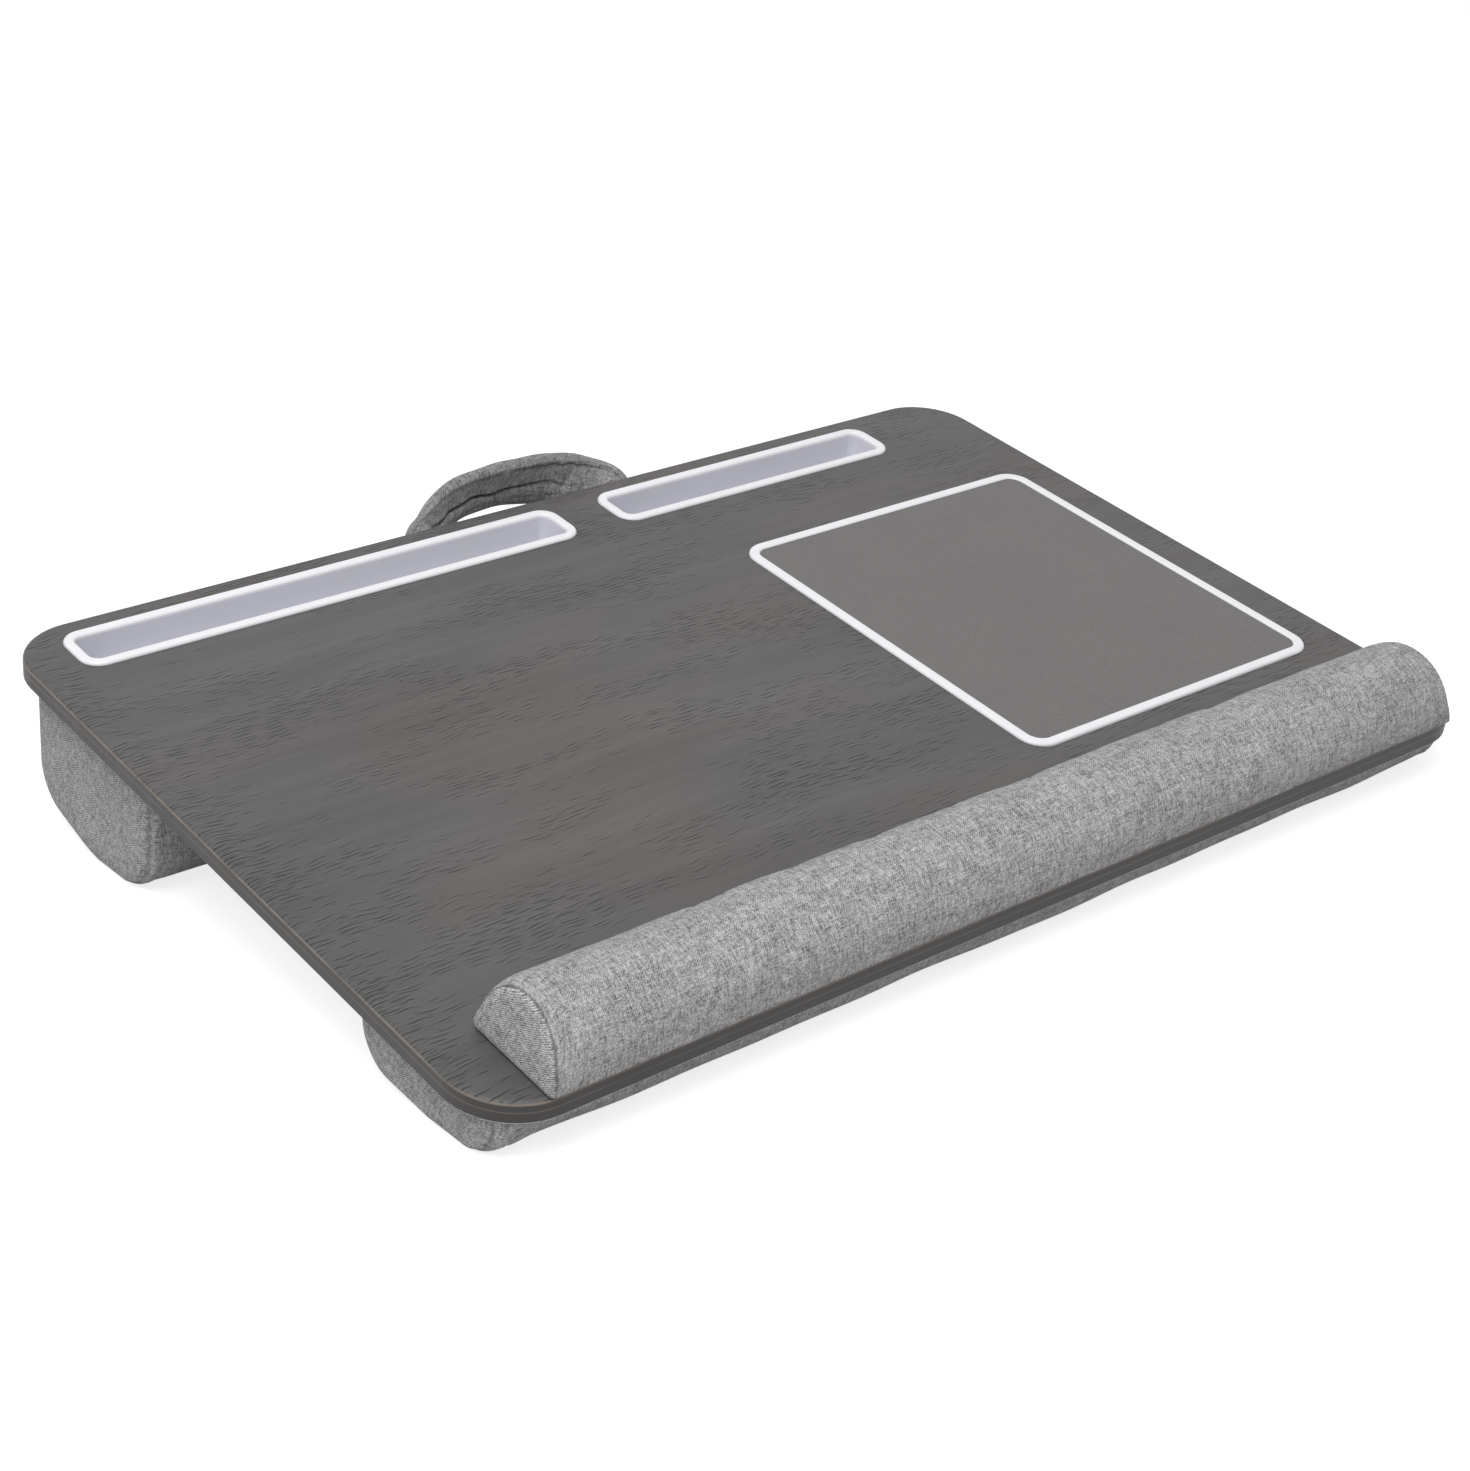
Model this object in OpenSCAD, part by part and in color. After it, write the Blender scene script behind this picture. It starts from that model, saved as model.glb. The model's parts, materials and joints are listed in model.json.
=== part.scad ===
// Cushioned lap desk: a wood-grain board on two fabric bolsters, with two device slots,
// an inset mouse pad, a padded wrist rest and a folding fabric handle behind.
// Millimetres, +Z up, resting on Z = 0, origin under the middle of the whole object.
// Pieces are drawn in the board's own frame: X to the right, Y from the front edge to the rear,
// Z square to the board with 0 at its top face. on_desk() tilts them into place.

/* [Board] */
// Width of the board
board_w = 550; // [500:1:640]
// Depth of the board
board_d = 376; // [360:1:420]
// Thickness of the fibreboard core
core_t = 8.4; // [6:0.1:15]
// Thickness of the wood-grain film
film_t = 0.6; // [0.3:0.1:1]
// Radius of the board's corners seen from above
corner_r = 30; // [22:1:50]
// Radius of the rounding along the top edge
edge_r = 2; // [1.2:0.1:3]
// Slope of the board towards the user
tilt = 9; // [8.5:0.1:10]
// Height of the front edge above what the desk stands on
front_h = 28; // [26:0.5:30]

/* [Slots] */
// Width of the tablet slot over its rim
tablet_w = 262; // [200:1:270]
// Middle of the tablet slot, left of the board's middle
tablet_x = -122.5; // [-126:0.5:-118]
// Width of the phone slot over its rim
phone_w = 176; // [120:1:190]
// Middle of the phone slot, right of the board's middle
phone_x = 122.5; // [116:0.5:132]
// Depth of both slots over their rims
slot_d = 31; // [26:1:32]
// Gap between the slots' rims and the board's rear edge
slot_back = 10.5; // [10:0.5:16]
// Radius of the slots' rims at the corners
slot_r = 9.5; // [8:0.5:12]
// Width of the white rims of the slots
rim_w = 5; // [4:0.1:6]
// Height of the white rims and of the pad frame above the film
rim_h = 1.5; // [1:0.1:2.5]
// Depth of the slots below the board's top face
slot_depth = 17.5; // [15:0.5:20]
// Wall thickness of the slot trays
tray_t = 1.2; // [1:0.1:1.6]

/* [Mouse pad] */
// Width of the pad over its frame
pad_w = 186; // [150:1:200]
// Depth of the pad over its frame
pad_d = 208; // [150:1:215]
// Middle of the pad, right of the board's middle
pad_x = 159; // [150:1:168]
// Distance from the front edge to the pad's frame
pad_front = 78; // [74:1:90]
// Radius of the pad frame at the corners
pad_r = 12; // [9:1:20]
// Width of the pad's frame
frame_w = 5.5; // [4:0.1:6]
// Thickness of the pad's tracking surface
pad_top_t = 1; // [0.6:0.1:1.5]
// Thickness of the foam under the tracking surface
pad_foam_t = 2; // [1:0.1:3]

/* [Wrist rest] */
// Length of the wrist rest
wrist_w = 506; // [420:1:530]
// Depth of the wrist rest at its widest
wrist_d = 52; // [44:1:60]
// Height of the wrist rest above the board
wrist_h = 32; // [26:0.5:36]
// How far the wrist rest bulges over the board's front edge
wrist_over = 2.5; // [1:0.5:6]
// Middle of the wrist rest, right of the board's middle
wrist_x = 1.5; // [0:0.5:4]
// Thickness of the tape under the wrist rest
tape_t = 0.5; // [0.3:0.1:1]
// Thickness of the stiff strip inside the wrist rest
strip_t = 2; // [1.5:0.1:3]

/* [Base] */
// Thickness of the fabric skin under the board
skin_t = 0.8; // [0.5:0.1:1.2]
// How far the skin stands back from the board's edge
skin_inset = 0.6; // [0.3:0.1:2]

/* [Cushions] */
// Length of both bolsters
bolster_w = 534; // [480:1:540]
// Distance from the board's front edge to the front bolster
front_y = 6.5; // [5:0.5:10]
// Depth of the front bolster
front_d = 95.5; // [85:0.5:115]
// Depth over which the front bolster stands on the floor
front_stand = 38; // [30:1:50]
// Rise of the front bolster's underside at its rear
front_rise = 6; // [3:0.5:8]
// Distance from the board's front edge to the rear bolster
rear_y = 255; // [240:1:256]
// Depth of the rear bolster
rear_d = 108.5; // [108:0.5:114]
// Depth over which the rear bolster stands on the floor
rear_stand = 52; // [40:1:60]
// Rise of the rear bolster's underside at its rear
rear_rise = 19; // [5:1:22]
// Thickness of the padded covers of bolsters and wrist rest
cover_t = 1.2; // [0.8:0.1:2]
// Swell of the bolsters' faces at mid length
crown = 2; // [0:0.5:3]
// How far the ends are drawn in
end_in = 4.5; // [3:0.5:6]
// How far the middle of an end panel stands proud
end_crown = 1.8; // [1:0.1:3]
// Width of the border over which an end panel rises
crown_in = 7; // [5:0.5:8]
// Length over which the ends are drawn in
end_len = 9; // [6:1:14]
// How far a bolster is pressed flat by what it stands on
press = 0.5; // [0.3:0.1:1]
// Width of the hems stapled under the board
hem = 14; // [10:1:20]
// Seat of the end panels' seams, in from the ends
seam_in = 6; // [4:0.5:10]
// Play between a cover and its filling, and round the slot trays
play = 0.3; // [0.2:0.05:0.5]

/* [Handle] */
// Width of the handle strap
strap_w = 25; // [20:0.5:32]
// Thickness of the padded strap
strap_t = 8; // [6:0.5:9]
// Middle of the handle, right of the board's middle
strap_x = 3; // [-10:1:15]
// Distance between the middles of the strap's ends
strap_span = 112; // [95:1:130]
// Reach of the strap's middle line behind its fold line
strap_reach = 17; // [15:0.5:24]
// Rise of the strap's middle above its ends
strap_rise = 11; // [8:0.5:16]
// Twist of the strap at its middle
strap_twist = 105; // [80:1:110]
// Thickness of the strap's fabric
strap_cover_t = 1; // [0.6:0.1:1.5]
// Thickness of the flat webbing ends
tab_t = 1.8; // [1:0.1:2.4]
// Length of the webbing ends under the board
tab_len = 12; // [8:0.5:12]
// Running clearance where the strap folds against the desk
fold_gap = 0.35; // [0.3:0.05:0.6]

/* [Fasteners] */
// Width of a staple's crown
staple_w = 10; // [8:0.5:13]
// Thickness of the staple wire
wire = 0.8; // [0.6:0.1:1]
// Depth to which staples bite into the fibreboard
bite = 3; // [2:0.5:4]
// Spacing of the hem staples
staple_pitch = 84; // [60:1:120]

/* [Hidden] */
$fn = 48;

// Length of a cut that runs clean through whatever it crosses
far = 1000;
// Small overlap that keeps joined shapes joined
lap = 0.01;
// Levels below the top face
board_bottom = -(core_t + film_t);
skin_bottom = board_bottom - skin_t;
// The slot trays
slot_y = board_d - slot_back - slot_d / 2;
tray_wall = rim_w - tray_t;
// The pad
pad_y = pad_front + pad_d / 2;
pad_floor = -(pad_top_t + pad_foam_t - rim_h / 2);
// The strap's fold line, just behind the board's rear edge and level with its webbing ends
fold_z = skin_bottom + tab_t / 2;
fold_y = board_d + strap_t / 2 + fold_gap;
// Middle of the strap's lower round edge, half way along the strap
strap_edge = (strap_w - strap_t) / 2;
low_y = fold_y + strap_reach - strap_edge * cos(strap_twist);
low_z = fold_z + strap_rise - strap_edge * sin(strap_twist);
// Middle line of the wrist rest, and the small arcs that tuck its cover under it
tuck_r = 4;
wrist_y = wrist_d / 2 - wrist_over;
wrist_z = tape_t + tuck_r;
// Front and rear of the whole object, seen level
reach_front = wrist_y * cos(tilt) - wrist_z * sin(tilt)
    - norm([wrist_d / 2 * cos(tilt), (wrist_h - wrist_z) * sin(tilt)]);
reach_back = low_y * cos(tilt) - low_z * sin(tilt) + strap_t / 2;
desk_y = -(reach_front + reach_back) / 2;

// Colours
wood_grey = [0.42, 0.41, 0.40];
fibre = [0.66, 0.55, 0.42];
white = [0.94, 0.94, 0.97];
pad_grey = [0.47, 0.46, 0.45];
cloth = [0.62, 0.61, 0.60];
cloth_dark = [0.50, 0.49, 0.48];
foam = [0.93, 0.91, 0.82];
steel = [0.75, 0.75, 0.77];

// Placement

module on_desk() {
    translate([0, desk_y, front_h]) rotate([tilt, 0, 0]) children();
}

// Height in the board's frame of what the desk stands on, at a distance y from the front edge
function floor_z(y) = -(front_h + y * sin(tilt)) / cos(tilt);

// Plane outlines and prisms

// Rectangle with round corners, centred
module round_rect(w, d, r) {
    square([w - 2 * r, d], center = true);
    square([w, d - 2 * r], center = true);
    for (x = [-1, 1], y = [-1, 1])
        translate([x * (w / 2 - r), y * (d / 2 - r)]) circle(r);
}

// Plate with round corners between two levels, centred on a point
module plate(x, y, w, d, r, low, high) {
    translate([x, y, low]) linear_extrude(high - low) round_rect(w, d, r);
}

// A profile drawn outwards from a plate's corner, carried once round its edge.
// The profile's x = 0 is the arc's centre, so its x = r is the plate's edge.
module edge_run(w, d, r) {
    for (side = [0, 1]) rotate(180 * side) {
        translate([w / 2 - r, d / 2 - r]) rotate_extrude(angle = 90) children();
        translate([-(w / 2 - r), d / 2 - r]) rotate(90) rotate_extrude(angle = 90) children();
        translate([w / 2 - r, d / 2 - r]) rotate([90, 0, 0]) linear_extrude(d - 2 * r) children();
        translate([-(w / 2 - r), d / 2 - r]) rotate([90, 0, 90]) linear_extrude(w - 2 * r) children();
    }
}

// Side of a slab with its top edge rounded
module slab_side(r, t, round_r) {
    translate([0, -t]) square([r, t - round_r]);
    translate([0, -round_r - lap]) square([r - round_r, round_r + lap]);
    intersection() {
        translate([r - round_r, -round_r]) circle(round_r);
        translate([r - round_r, -round_r]) square(round_r);
    }
}

// Slab with round corners and a rounded top edge, top face at z = 0
module slab(w, d, r, t, round_r) {
    translate([0, 0, -t]) linear_extrude(t)
        square([w - 2 * r + 2 * lap, d - 2 * r + 2 * lap], center = true);
    edge_run(w, d, r) slab_side(r, t, round_r);
}

// White bead with a rounded crest, its outer edge on the given outline, standing on z = 0
module bead(w, d, r, bead_w, h) {
    edge_run(w, d, r) intersection() {
        translate([r - bead_w, 0]) square([bead_w, h]);
        union() {
            translate([r - bead_w + h, 0]) square([bead_w - 2 * h, h]);
            for (x = [r - bead_w + h, r - h]) translate([x, 0]) circle(h);
        }
    }
}

// Board

module slot_cut(x, w, gap = 0) {
    plate(x, slot_y, w - 2 * tray_wall + 2 * gap, slot_d - 2 * tray_wall + 2 * gap,
        slot_r - tray_wall + gap, -far, far);
}

module slot_cuts(gap = 0) {
    slot_cut(tablet_x, tablet_w, gap);
    slot_cut(phone_x, phone_w, gap);
}

module pad_cut() {
    plate(pad_x, pad_y, pad_w - 2, pad_d - 2, pad_r - 1, pad_floor, far);
}

module board_core() {
    color(fibre) on_desk() difference() {
        translate([0, board_d / 2, -film_t])
            slab(board_w - 2 * film_t, board_d - 2 * film_t, corner_r - film_t, core_t,
                edge_r - film_t);
        slot_cuts();
        pad_cut();
        tab_notches();
        handle_staple_set();
        hem_staple_set();
    }
}

module woodgrain_film() {
    color(wood_grey) on_desk() difference() {
        translate([0, board_d / 2, 0])
            slab(board_w, board_d, corner_r, core_t + film_t, edge_r);
        translate([0, board_d / 2, -film_t])
            slab(board_w - 2 * film_t, board_d - 2 * film_t, corner_r - film_t,
                core_t + film_t, edge_r - film_t);
        slot_cuts();
        pad_cut();
        tab_notches();
    }
}

// Slot trays

module slot_tray(x, w) {
    color(white) on_desk() {
        translate([x, slot_y, 0]) bead(w, slot_d, slot_r, rim_w, rim_h);
        difference() {
            plate(x, slot_y, w - 2 * tray_wall, slot_d - 2 * tray_wall,
                slot_r - tray_wall, -slot_depth - tray_t, lap);
            plate(x, slot_y, w - 2 * rim_w, slot_d - 2 * rim_w,
                slot_r - rim_w, -slot_depth, far);
        }
    }
}

module tablet_slot_liner() {
    slot_tray(tablet_x, tablet_w);
}

module phone_slot_liner() {
    slot_tray(phone_x, phone_w);
}

// Mouse pad

module mouse_pad_frame() {
    color(white) on_desk() {
        translate([pad_x, pad_y, 0]) bead(pad_w, pad_d, pad_r, frame_w, rim_h);
        difference() {
            plate(pad_x, pad_y, pad_w - 2, pad_d - 2, pad_r - 1, pad_floor, lap);
            plate(pad_x, pad_y, pad_w - 2 * frame_w, pad_d - 2 * frame_w, pad_r - frame_w,
                -far, far);
        }
    }
}

module pad_layer(low, high) {
    plate(pad_x, pad_y, pad_w - 2 * frame_w, pad_d - 2 * frame_w, pad_r - frame_w, low, high);
}

module mouse_pad_surface() {
    color(pad_grey) on_desk() pad_layer(pad_floor + pad_foam_t, pad_floor + pad_foam_t + pad_top_t);
}

module mouse_pad_backing() {
    color(foam) on_desk() pad_layer(pad_floor, pad_floor + pad_foam_t);
}

// Soft forms: rings of points, each ring in a plane, joined into one closed solid

function unit(v) = v / norm(v);

// Closed outline with each corner of a polygon turned into an arc of its own radius
function rounded(corners, radii, steps) = [
    for (i = [0:len(corners) - 1])
    let (n = len(corners), b = corners[i],
        u = unit(corners[(i + n - 1) % n] - b), v = unit(corners[(i + 1) % n] - b),
        half = acos(u * v) / 2, m = b + unit(u + v) * radii[i] / sin(half),
        s = b + u * radii[i] / tan(half) - m, e = b + v * radii[i] / tan(half) - m,
        a = atan2(s.y, s.x), turn = sign(cross(s, e)) * (180 - 2 * half))
    for (k = [0:steps]) m + radii[i] * [cos(a + turn * k / steps), sin(a + turn * k / steps)]
];

// Polygon with every side moved inwards
function inset(corners, by) = [
    for (i = [0:len(corners) - 1])
    let (n = len(corners), b = corners[i],
        u = unit(corners[(i + n - 1) % n] - b), v = unit(corners[(i + 1) % n] - b))
    b + unit(u + v) * by / sin(acos(u * v) / 2)
];

module skin_over(rings) {
    n = len(rings[0]);
    last = (len(rings) - 1) * n;
    polyhedron(
        points = [for (ring = rings) for (p = ring) p],
        faces = [
            for (j = [0:len(rings) - 2]) for (i = [0:n - 1])
            let (a = j * n + i, b = j * n + (i + 1) % n)
            each [[a, a + n, b], [b, a + n, b + n]],
            for (i = [1:n - 2]) [0, i, i + 1],
            for (i = [1:n - 2]) [last, last + i + 1, last + i]
        ]);
}

// Stations along a cushion from its left end to its right end: [place, draw, panel, end].
// draw narrows the section, and is negative where the middle swells; panel is how far a ring
// of the crowned end panel lies in from the panel's edge; end is 1 near the ends, 0 elsewhere.
function half_stations(half, grow) = [
    [half + end_crown, end_in, crown_in, 1],
    [half + end_crown * 0.6, end_in, crown_in / 2, 1],
    for (turn = [90, 60, 35])
        [half - end_len * (1 - sin(turn)), end_in * (1 - cos(turn)), 0, 1],
    [half - end_len, -grow * 0.15, 0, 1],
    [half * 0.6, -grow * 0.65, 0, 0]
];

function stations(half, grow) = concat(
    [for (s = half_stations(half, grow)) [-s[0], s[1], s[2], s[3]]],
    [[0, -grow, 0, 0]],
    [for (i = [6:-1:0]) half_stations(half, grow)[i]]);

// Section of a bolster seen from its right end: flat on top, standing on the floor along its
// front part, its underside rising towards the rear. draw brings front and rear together.
// spec is [front, depth, length that stands on the floor, rise at the rear].
function bolster_corners(spec, draw) =
    let (front = spec[0] + draw, back = spec[0] + spec[1] - draw, bend = spec[0] + spec[2])
    [[back, skin_bottom + hem], [front, skin_bottom + hem], [front, floor_z(front) - press],
        [bend, floor_z(bend) - press], [back, floor_z(back) + spec[3]]];

// Radii of the section's corners; the lower front corner is fuller at the ends
function bolster_radii(radii, end, by) =
    [for (i = [0:4]) max(radii[i] + (i == 2 ? end * end_soften : 0) - by, 1)];

// Bolster drawn in from its full size by the thickness of what lies over it
module bolster_form(spec, radii, by) {
    half = bolster_w / 2 - end_crown;
    intersection() {
        skin_over([for (s = stations(half, crown))
            let (x = s[0] - sign(s[0]) * by, inwards = s[2] + by)
            [for (p = rounded(inset(bolster_corners(spec, s[1]), inwards),
                bolster_radii(radii, s[3], inwards), 4)) [x, p.x, p.y]]]);
        translate([-far / 2, -far / 2, skin_bottom - by - far]) cube(far);
        standing_room(by);
    }
}

// Everything above what the desk stands on, in the board's frame
module standing_room(by) {
    rotate([-tilt, 0, 0]) translate([-far / 2, -far / 2, by - front_h]) cube(far);
}

end_soften = 8;
front_spec = [front_y, front_d, front_stand, front_rise];
front_radii = [4, 4, 17, 60, 18];
rear_spec = [rear_y, rear_d, rear_stand, rear_rise];
rear_radii = [4, 4, 17, 80, 18];

// Hollow cover, open above inside its hem
module bolster_shell(spec, radii) {
    difference() {
        bolster_form(spec, radii, 0);
        bolster_form(spec, radii, cover_t);
        translate([-bolster_w / 2 + hem, spec[0] + hem, skin_bottom - 2 * cover_t])
            cube([bolster_w - 2 * hem, spec[1] - 2 * hem, far]);
        slot_cuts(play);
        hem_staple_set();
    }
}

seam_x = bolster_w / 2 - seam_in;

module between_seams(x, middle = 0) {
    intersection() {
        children();
        translate([middle - x, -far / 2, -far / 2]) cube([2 * x, far, far]);
    }
}

module beyond_seam(x, side, middle = 0) {
    intersection() {
        children();
        translate([side > 0 ? middle + x : middle - x - far, -far / 2, -far / 2])
            cube([far, far, far]);
    }
}

module front_bolster_cover() {
    color(cloth) on_desk() between_seams(seam_x) bolster_shell(front_spec, front_radii);
}

module front_bolster_end_left() {
    color(cloth_dark) on_desk() beyond_seam(seam_x, -1) bolster_shell(front_spec, front_radii);
}

module front_bolster_end_right() {
    color(cloth_dark) on_desk() beyond_seam(seam_x, 1) bolster_shell(front_spec, front_radii);
}

module front_bolster_foam() {
    color(foam) on_desk() bolster_form(front_spec, front_radii, cover_t + play);
}

module rear_bolster_cover() {
    color(cloth) on_desk() between_seams(seam_x) bolster_shell(rear_spec, rear_radii);
}

module rear_bolster_end_left() {
    color(cloth_dark) on_desk() beyond_seam(seam_x, -1) bolster_shell(rear_spec, rear_radii);
}

module rear_bolster_end_right() {
    color(cloth_dark) on_desk() beyond_seam(seam_x, 1) bolster_shell(rear_spec, rear_radii);
}

// The filling is notched along the rear for both slot trays
module rear_bolster_foam() {
    color(foam) on_desk() difference() {
        bolster_form(rear_spec, rear_radii, cover_t + play);
        for (slot = [[tablet_x, tablet_w], [phone_x, phone_w]])
            translate([slot[0] - slot[1] / 2, slot_y - slot_d / 2, -slot_depth - tray_t - play])
                cube([slot[1], far, far]);
    }
}

// Base

module base_fabric() {
    color(cloth_dark) on_desk() difference() {
        plate(0, board_d / 2, board_w - 2 * skin_inset, board_d - 2 * skin_inset,
            corner_r - skin_inset, skin_bottom, board_bottom);
        slot_cuts(play);
        tab_notches();
        hem_staple_set();
    }
}

// Wrist rest

// The slimmer wrist rest is drawn in by less than the bolsters, and its ends lean inwards
wrist_draw = 0.5;
wrist_lean = 5;

// D-shaped section, counter-clockwise from the rear: a half ellipse on two small tucked arcs
function wrist_ring(x, draw, by, lean) =
    let (a = wrist_d / 2 - draw - by, low = tape_t + by, r = max(tuck_r - by, 0.8),
        z = low + r, b = wrist_h - draw - by - z)
    [for (p = concat(
        [for (t = [-90, -45]) [wrist_y + a - r + r * cos(t), low + r + r * sin(t)]],
        [for (t = [0:15:180]) [wrist_y + a * cos(t), z + b * sin(t)]],
        [for (t = [225, 270]) [wrist_y - a + r + r * cos(t), low + r + r * sin(t)]]))
        [x - lean * p.y / wrist_h, p.x, p.y]];

module wrist_form(by) {
    half = wrist_w / 2 - end_crown;
    skin_over([for (s = stations(half, 0))
        wrist_ring(wrist_x + s[0] - sign(s[0]) * by, s[1] * wrist_draw, s[2] * wrist_draw + by,
            sign(s[0]) * s[3] * wrist_lean)]);
}

module wrist_shell() {
    difference() {
        wrist_form(0);
        wrist_form(cover_t);
    }
}

wrist_seam_x = wrist_w / 2 - seam_in;

module wrist_rest_cover() {
    color(cloth) on_desk() between_seams(wrist_seam_x, wrist_x) wrist_shell();
}

module wrist_rest_end_left() {
    color(cloth_dark) on_desk() beyond_seam(wrist_seam_x, -1, wrist_x) wrist_shell();
}

module wrist_rest_end_right() {
    color(cloth_dark) on_desk() beyond_seam(wrist_seam_x, 1, wrist_x) wrist_shell();
}

// Stiff strip that lies on the inside of the cover's flat bottom
strip_w = wrist_w - 4 * end_len;
strip_d = wrist_d - 4 * tuck_r;
strip_z = tape_t + cover_t;

module wrist_rest_backing() {
    color(fibre) on_desk() plate(wrist_x, wrist_y, strip_w, strip_d, tuck_r,
        strip_z, strip_z + strip_t);
}

module wrist_rest_foam() {
    color(foam) on_desk() difference() {
        wrist_form(cover_t + play);
        plate(wrist_x, wrist_y, strip_w + 2 * play, strip_d + 2 * play, tuck_r + play,
            -far, strip_z + strip_t + play);
    }
}

module wrist_rest_tape() {
    color(white) on_desk() plate(wrist_x, wrist_y, strip_w, strip_d - 2 * tuck_r, 2,
        0, tape_t);
}

// Handle

// A place along the strap: 0 at the left end, 180 at the right end
strap_bend = 1.95;
twist_power = 0.7;
rise_power = 1.2;

function strap_point(u) = [
    strap_x - strap_span / 2 * sign(cos(u)) * pow(abs(cos(u)), 2 / strap_bend),
    fold_y + strap_reach * pow(sin(u), 2 / strap_bend),
    fold_z + strap_rise * pow(sin(u), rise_power)
];

// Ring of the strap: flat at its ends, turned on edge at its middle, outer edge up
function strap_ring(u, w, t) =
    let (out = [-cos(u), sin(u), 0], twist = strap_twist * pow(sin(u), twist_power),
        wide = out * cos(twist) + [0, 0, sin(twist)],
        thick = [0, 0, cos(twist)] - out * sin(twist))
    [for (p = strap_section(w, t)) strap_point(u) + wide * p.x + thick * p.y];

// Flat strap with round edges
function strap_section(w, t) = [
    for (side = [0, 180]) for (a = [-90, -50, -18, 18, 50, 90])
        [cos(side) * (w - t) / 2 + t / 2 * cos(a + side), t / 2 * sin(a + side)]
];

// The strap's end, rounded about the fold line, from its tip to the fold line
function strap_nose(side, w, t) = [
    for (a = [80, 55, 30, 0])
        [for (p = strap_section(w, t))
            [strap_x + side * (strap_span / 2 + p.x), fold_y - t / 2 * sin(a), fold_z + p.y * cos(a)]]
];

module strap_form(by) {
    w = strap_w - 2 * by;
    t = strap_t - 2 * by;
    right = strap_nose(1, w, t);
    skin_over(concat(
        strap_nose(-1, w, t),
        [for (u = [8:7:172]) strap_ring(u, w, t)],
        [for (i = [3:-1:0]) right[i]]));
}

module handle_cover() {
    color(cloth) on_desk() difference() {
        strap_form(0);
        strap_form(strap_cover_t);
    }
}

module handle_core() {
    color(foam) on_desk() strap_form(strap_cover_t + play / 2);
}

module tab(side) {
    plate(strap_x + side * strap_span / 2, board_d - tab_len / 2, strap_w, tab_len, 1,
        skin_bottom, skin_bottom + tab_t);
}

// Shallow recesses for the webbing ends in the board's underside, open to the rear
module tab_notches() {
    for (side = [-1, 1])
        translate([strap_x + side * strap_span / 2 - strap_w / 2 - play,
                board_d - tab_len - play, skin_bottom - lap])
            cube([strap_w + 2 * play, far, tab_t + lap]);
}

module handle_tab_left() {
    color(cloth_dark) on_desk() difference() {
        tab(-1);
        handle_staple_set();
    }
}

module handle_tab_right() {
    color(cloth_dark) on_desk() difference() {
        tab(1);
        handle_staple_set();
    }
}

// Fasteners

// Staple driven upwards, its crown's upper side at z = 0
module staple(leg) {
    translate([-staple_w / 2, -wire / 2, -wire]) cube([staple_w, wire, wire]);
    for (side = [-1, 1])
        translate([side * (staple_w - wire) / 2 - wire / 2, -wire / 2, -lap])
            cube([wire, wire, leg + lap]);
}

module handle_staple_set() {
    for (side = [-1, 1], row = [0.3, 0.7])
        translate([strap_x + side * strap_span / 2, board_d - tab_len * row, skin_bottom])
            staple(tab_t + bite);
}

module handle_staples() {
    color(steel) on_desk() handle_staple_set();
}

// Staples through the hems, along both long sides of the front bolster and along the front of
// the rear one; their crowns are pulled in flush with the hems
module hem_staple_set() {
    count = floor((bolster_w - 4 * hem) / staple_pitch / 2);
    for (y = [front_y + hem / 2 + crown, front_y + front_d - hem / 2 - crown,
            rear_y + hem / 2 + crown], i = [-count:count])
        translate([i * staple_pitch, y, skin_bottom - cover_t + wire])
            staple(cover_t - wire + skin_t + bite);
}

module bolster_staples() {
    color(steel) on_desk() hem_staple_set();
}

board_core();
woodgrain_film();
tablet_slot_liner();
phone_slot_liner();
mouse_pad_frame();
mouse_pad_surface();
mouse_pad_backing();
wrist_rest_cover();
wrist_rest_end_left();
wrist_rest_end_right();
wrist_rest_foam();
wrist_rest_backing();
wrist_rest_tape();
base_fabric();
front_bolster_cover();
front_bolster_end_left();
front_bolster_end_right();
front_bolster_foam();
rear_bolster_cover();
rear_bolster_end_left();
rear_bolster_end_right();
rear_bolster_foam();
bolster_staples();
handle_cover();
handle_core();
handle_tab_left();
handle_tab_right();
handle_staples();
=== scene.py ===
"""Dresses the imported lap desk: finishes for the board and its plastic pieces, sewn cushions,
the carrying strap, and the stage with its lamps and camera."""

import json
import math

import bpy
import numpy as np
from bpy.props import FloatProperty, FloatVectorProperty, PointerProperty
from mathutils import Matrix, Vector


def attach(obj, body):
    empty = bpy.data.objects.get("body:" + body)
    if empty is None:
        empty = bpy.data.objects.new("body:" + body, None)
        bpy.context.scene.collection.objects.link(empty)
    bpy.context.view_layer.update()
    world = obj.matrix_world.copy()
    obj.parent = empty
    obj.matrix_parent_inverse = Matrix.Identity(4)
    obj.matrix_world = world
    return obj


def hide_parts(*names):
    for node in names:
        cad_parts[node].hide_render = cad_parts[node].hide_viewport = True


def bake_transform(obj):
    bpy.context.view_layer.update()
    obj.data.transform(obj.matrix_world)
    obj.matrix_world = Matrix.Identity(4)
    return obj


bl_info = {
    "name": "Lap desk finishes",
    "version": (1, 0, 0),
    "blender": (4, 5, 0),
    "location": "3D View > Sidebar > Lap desk",
    "description": "Gives a packed lap desk its cloth, cushions, board film and stage",
    "category": "Object",
}

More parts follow.
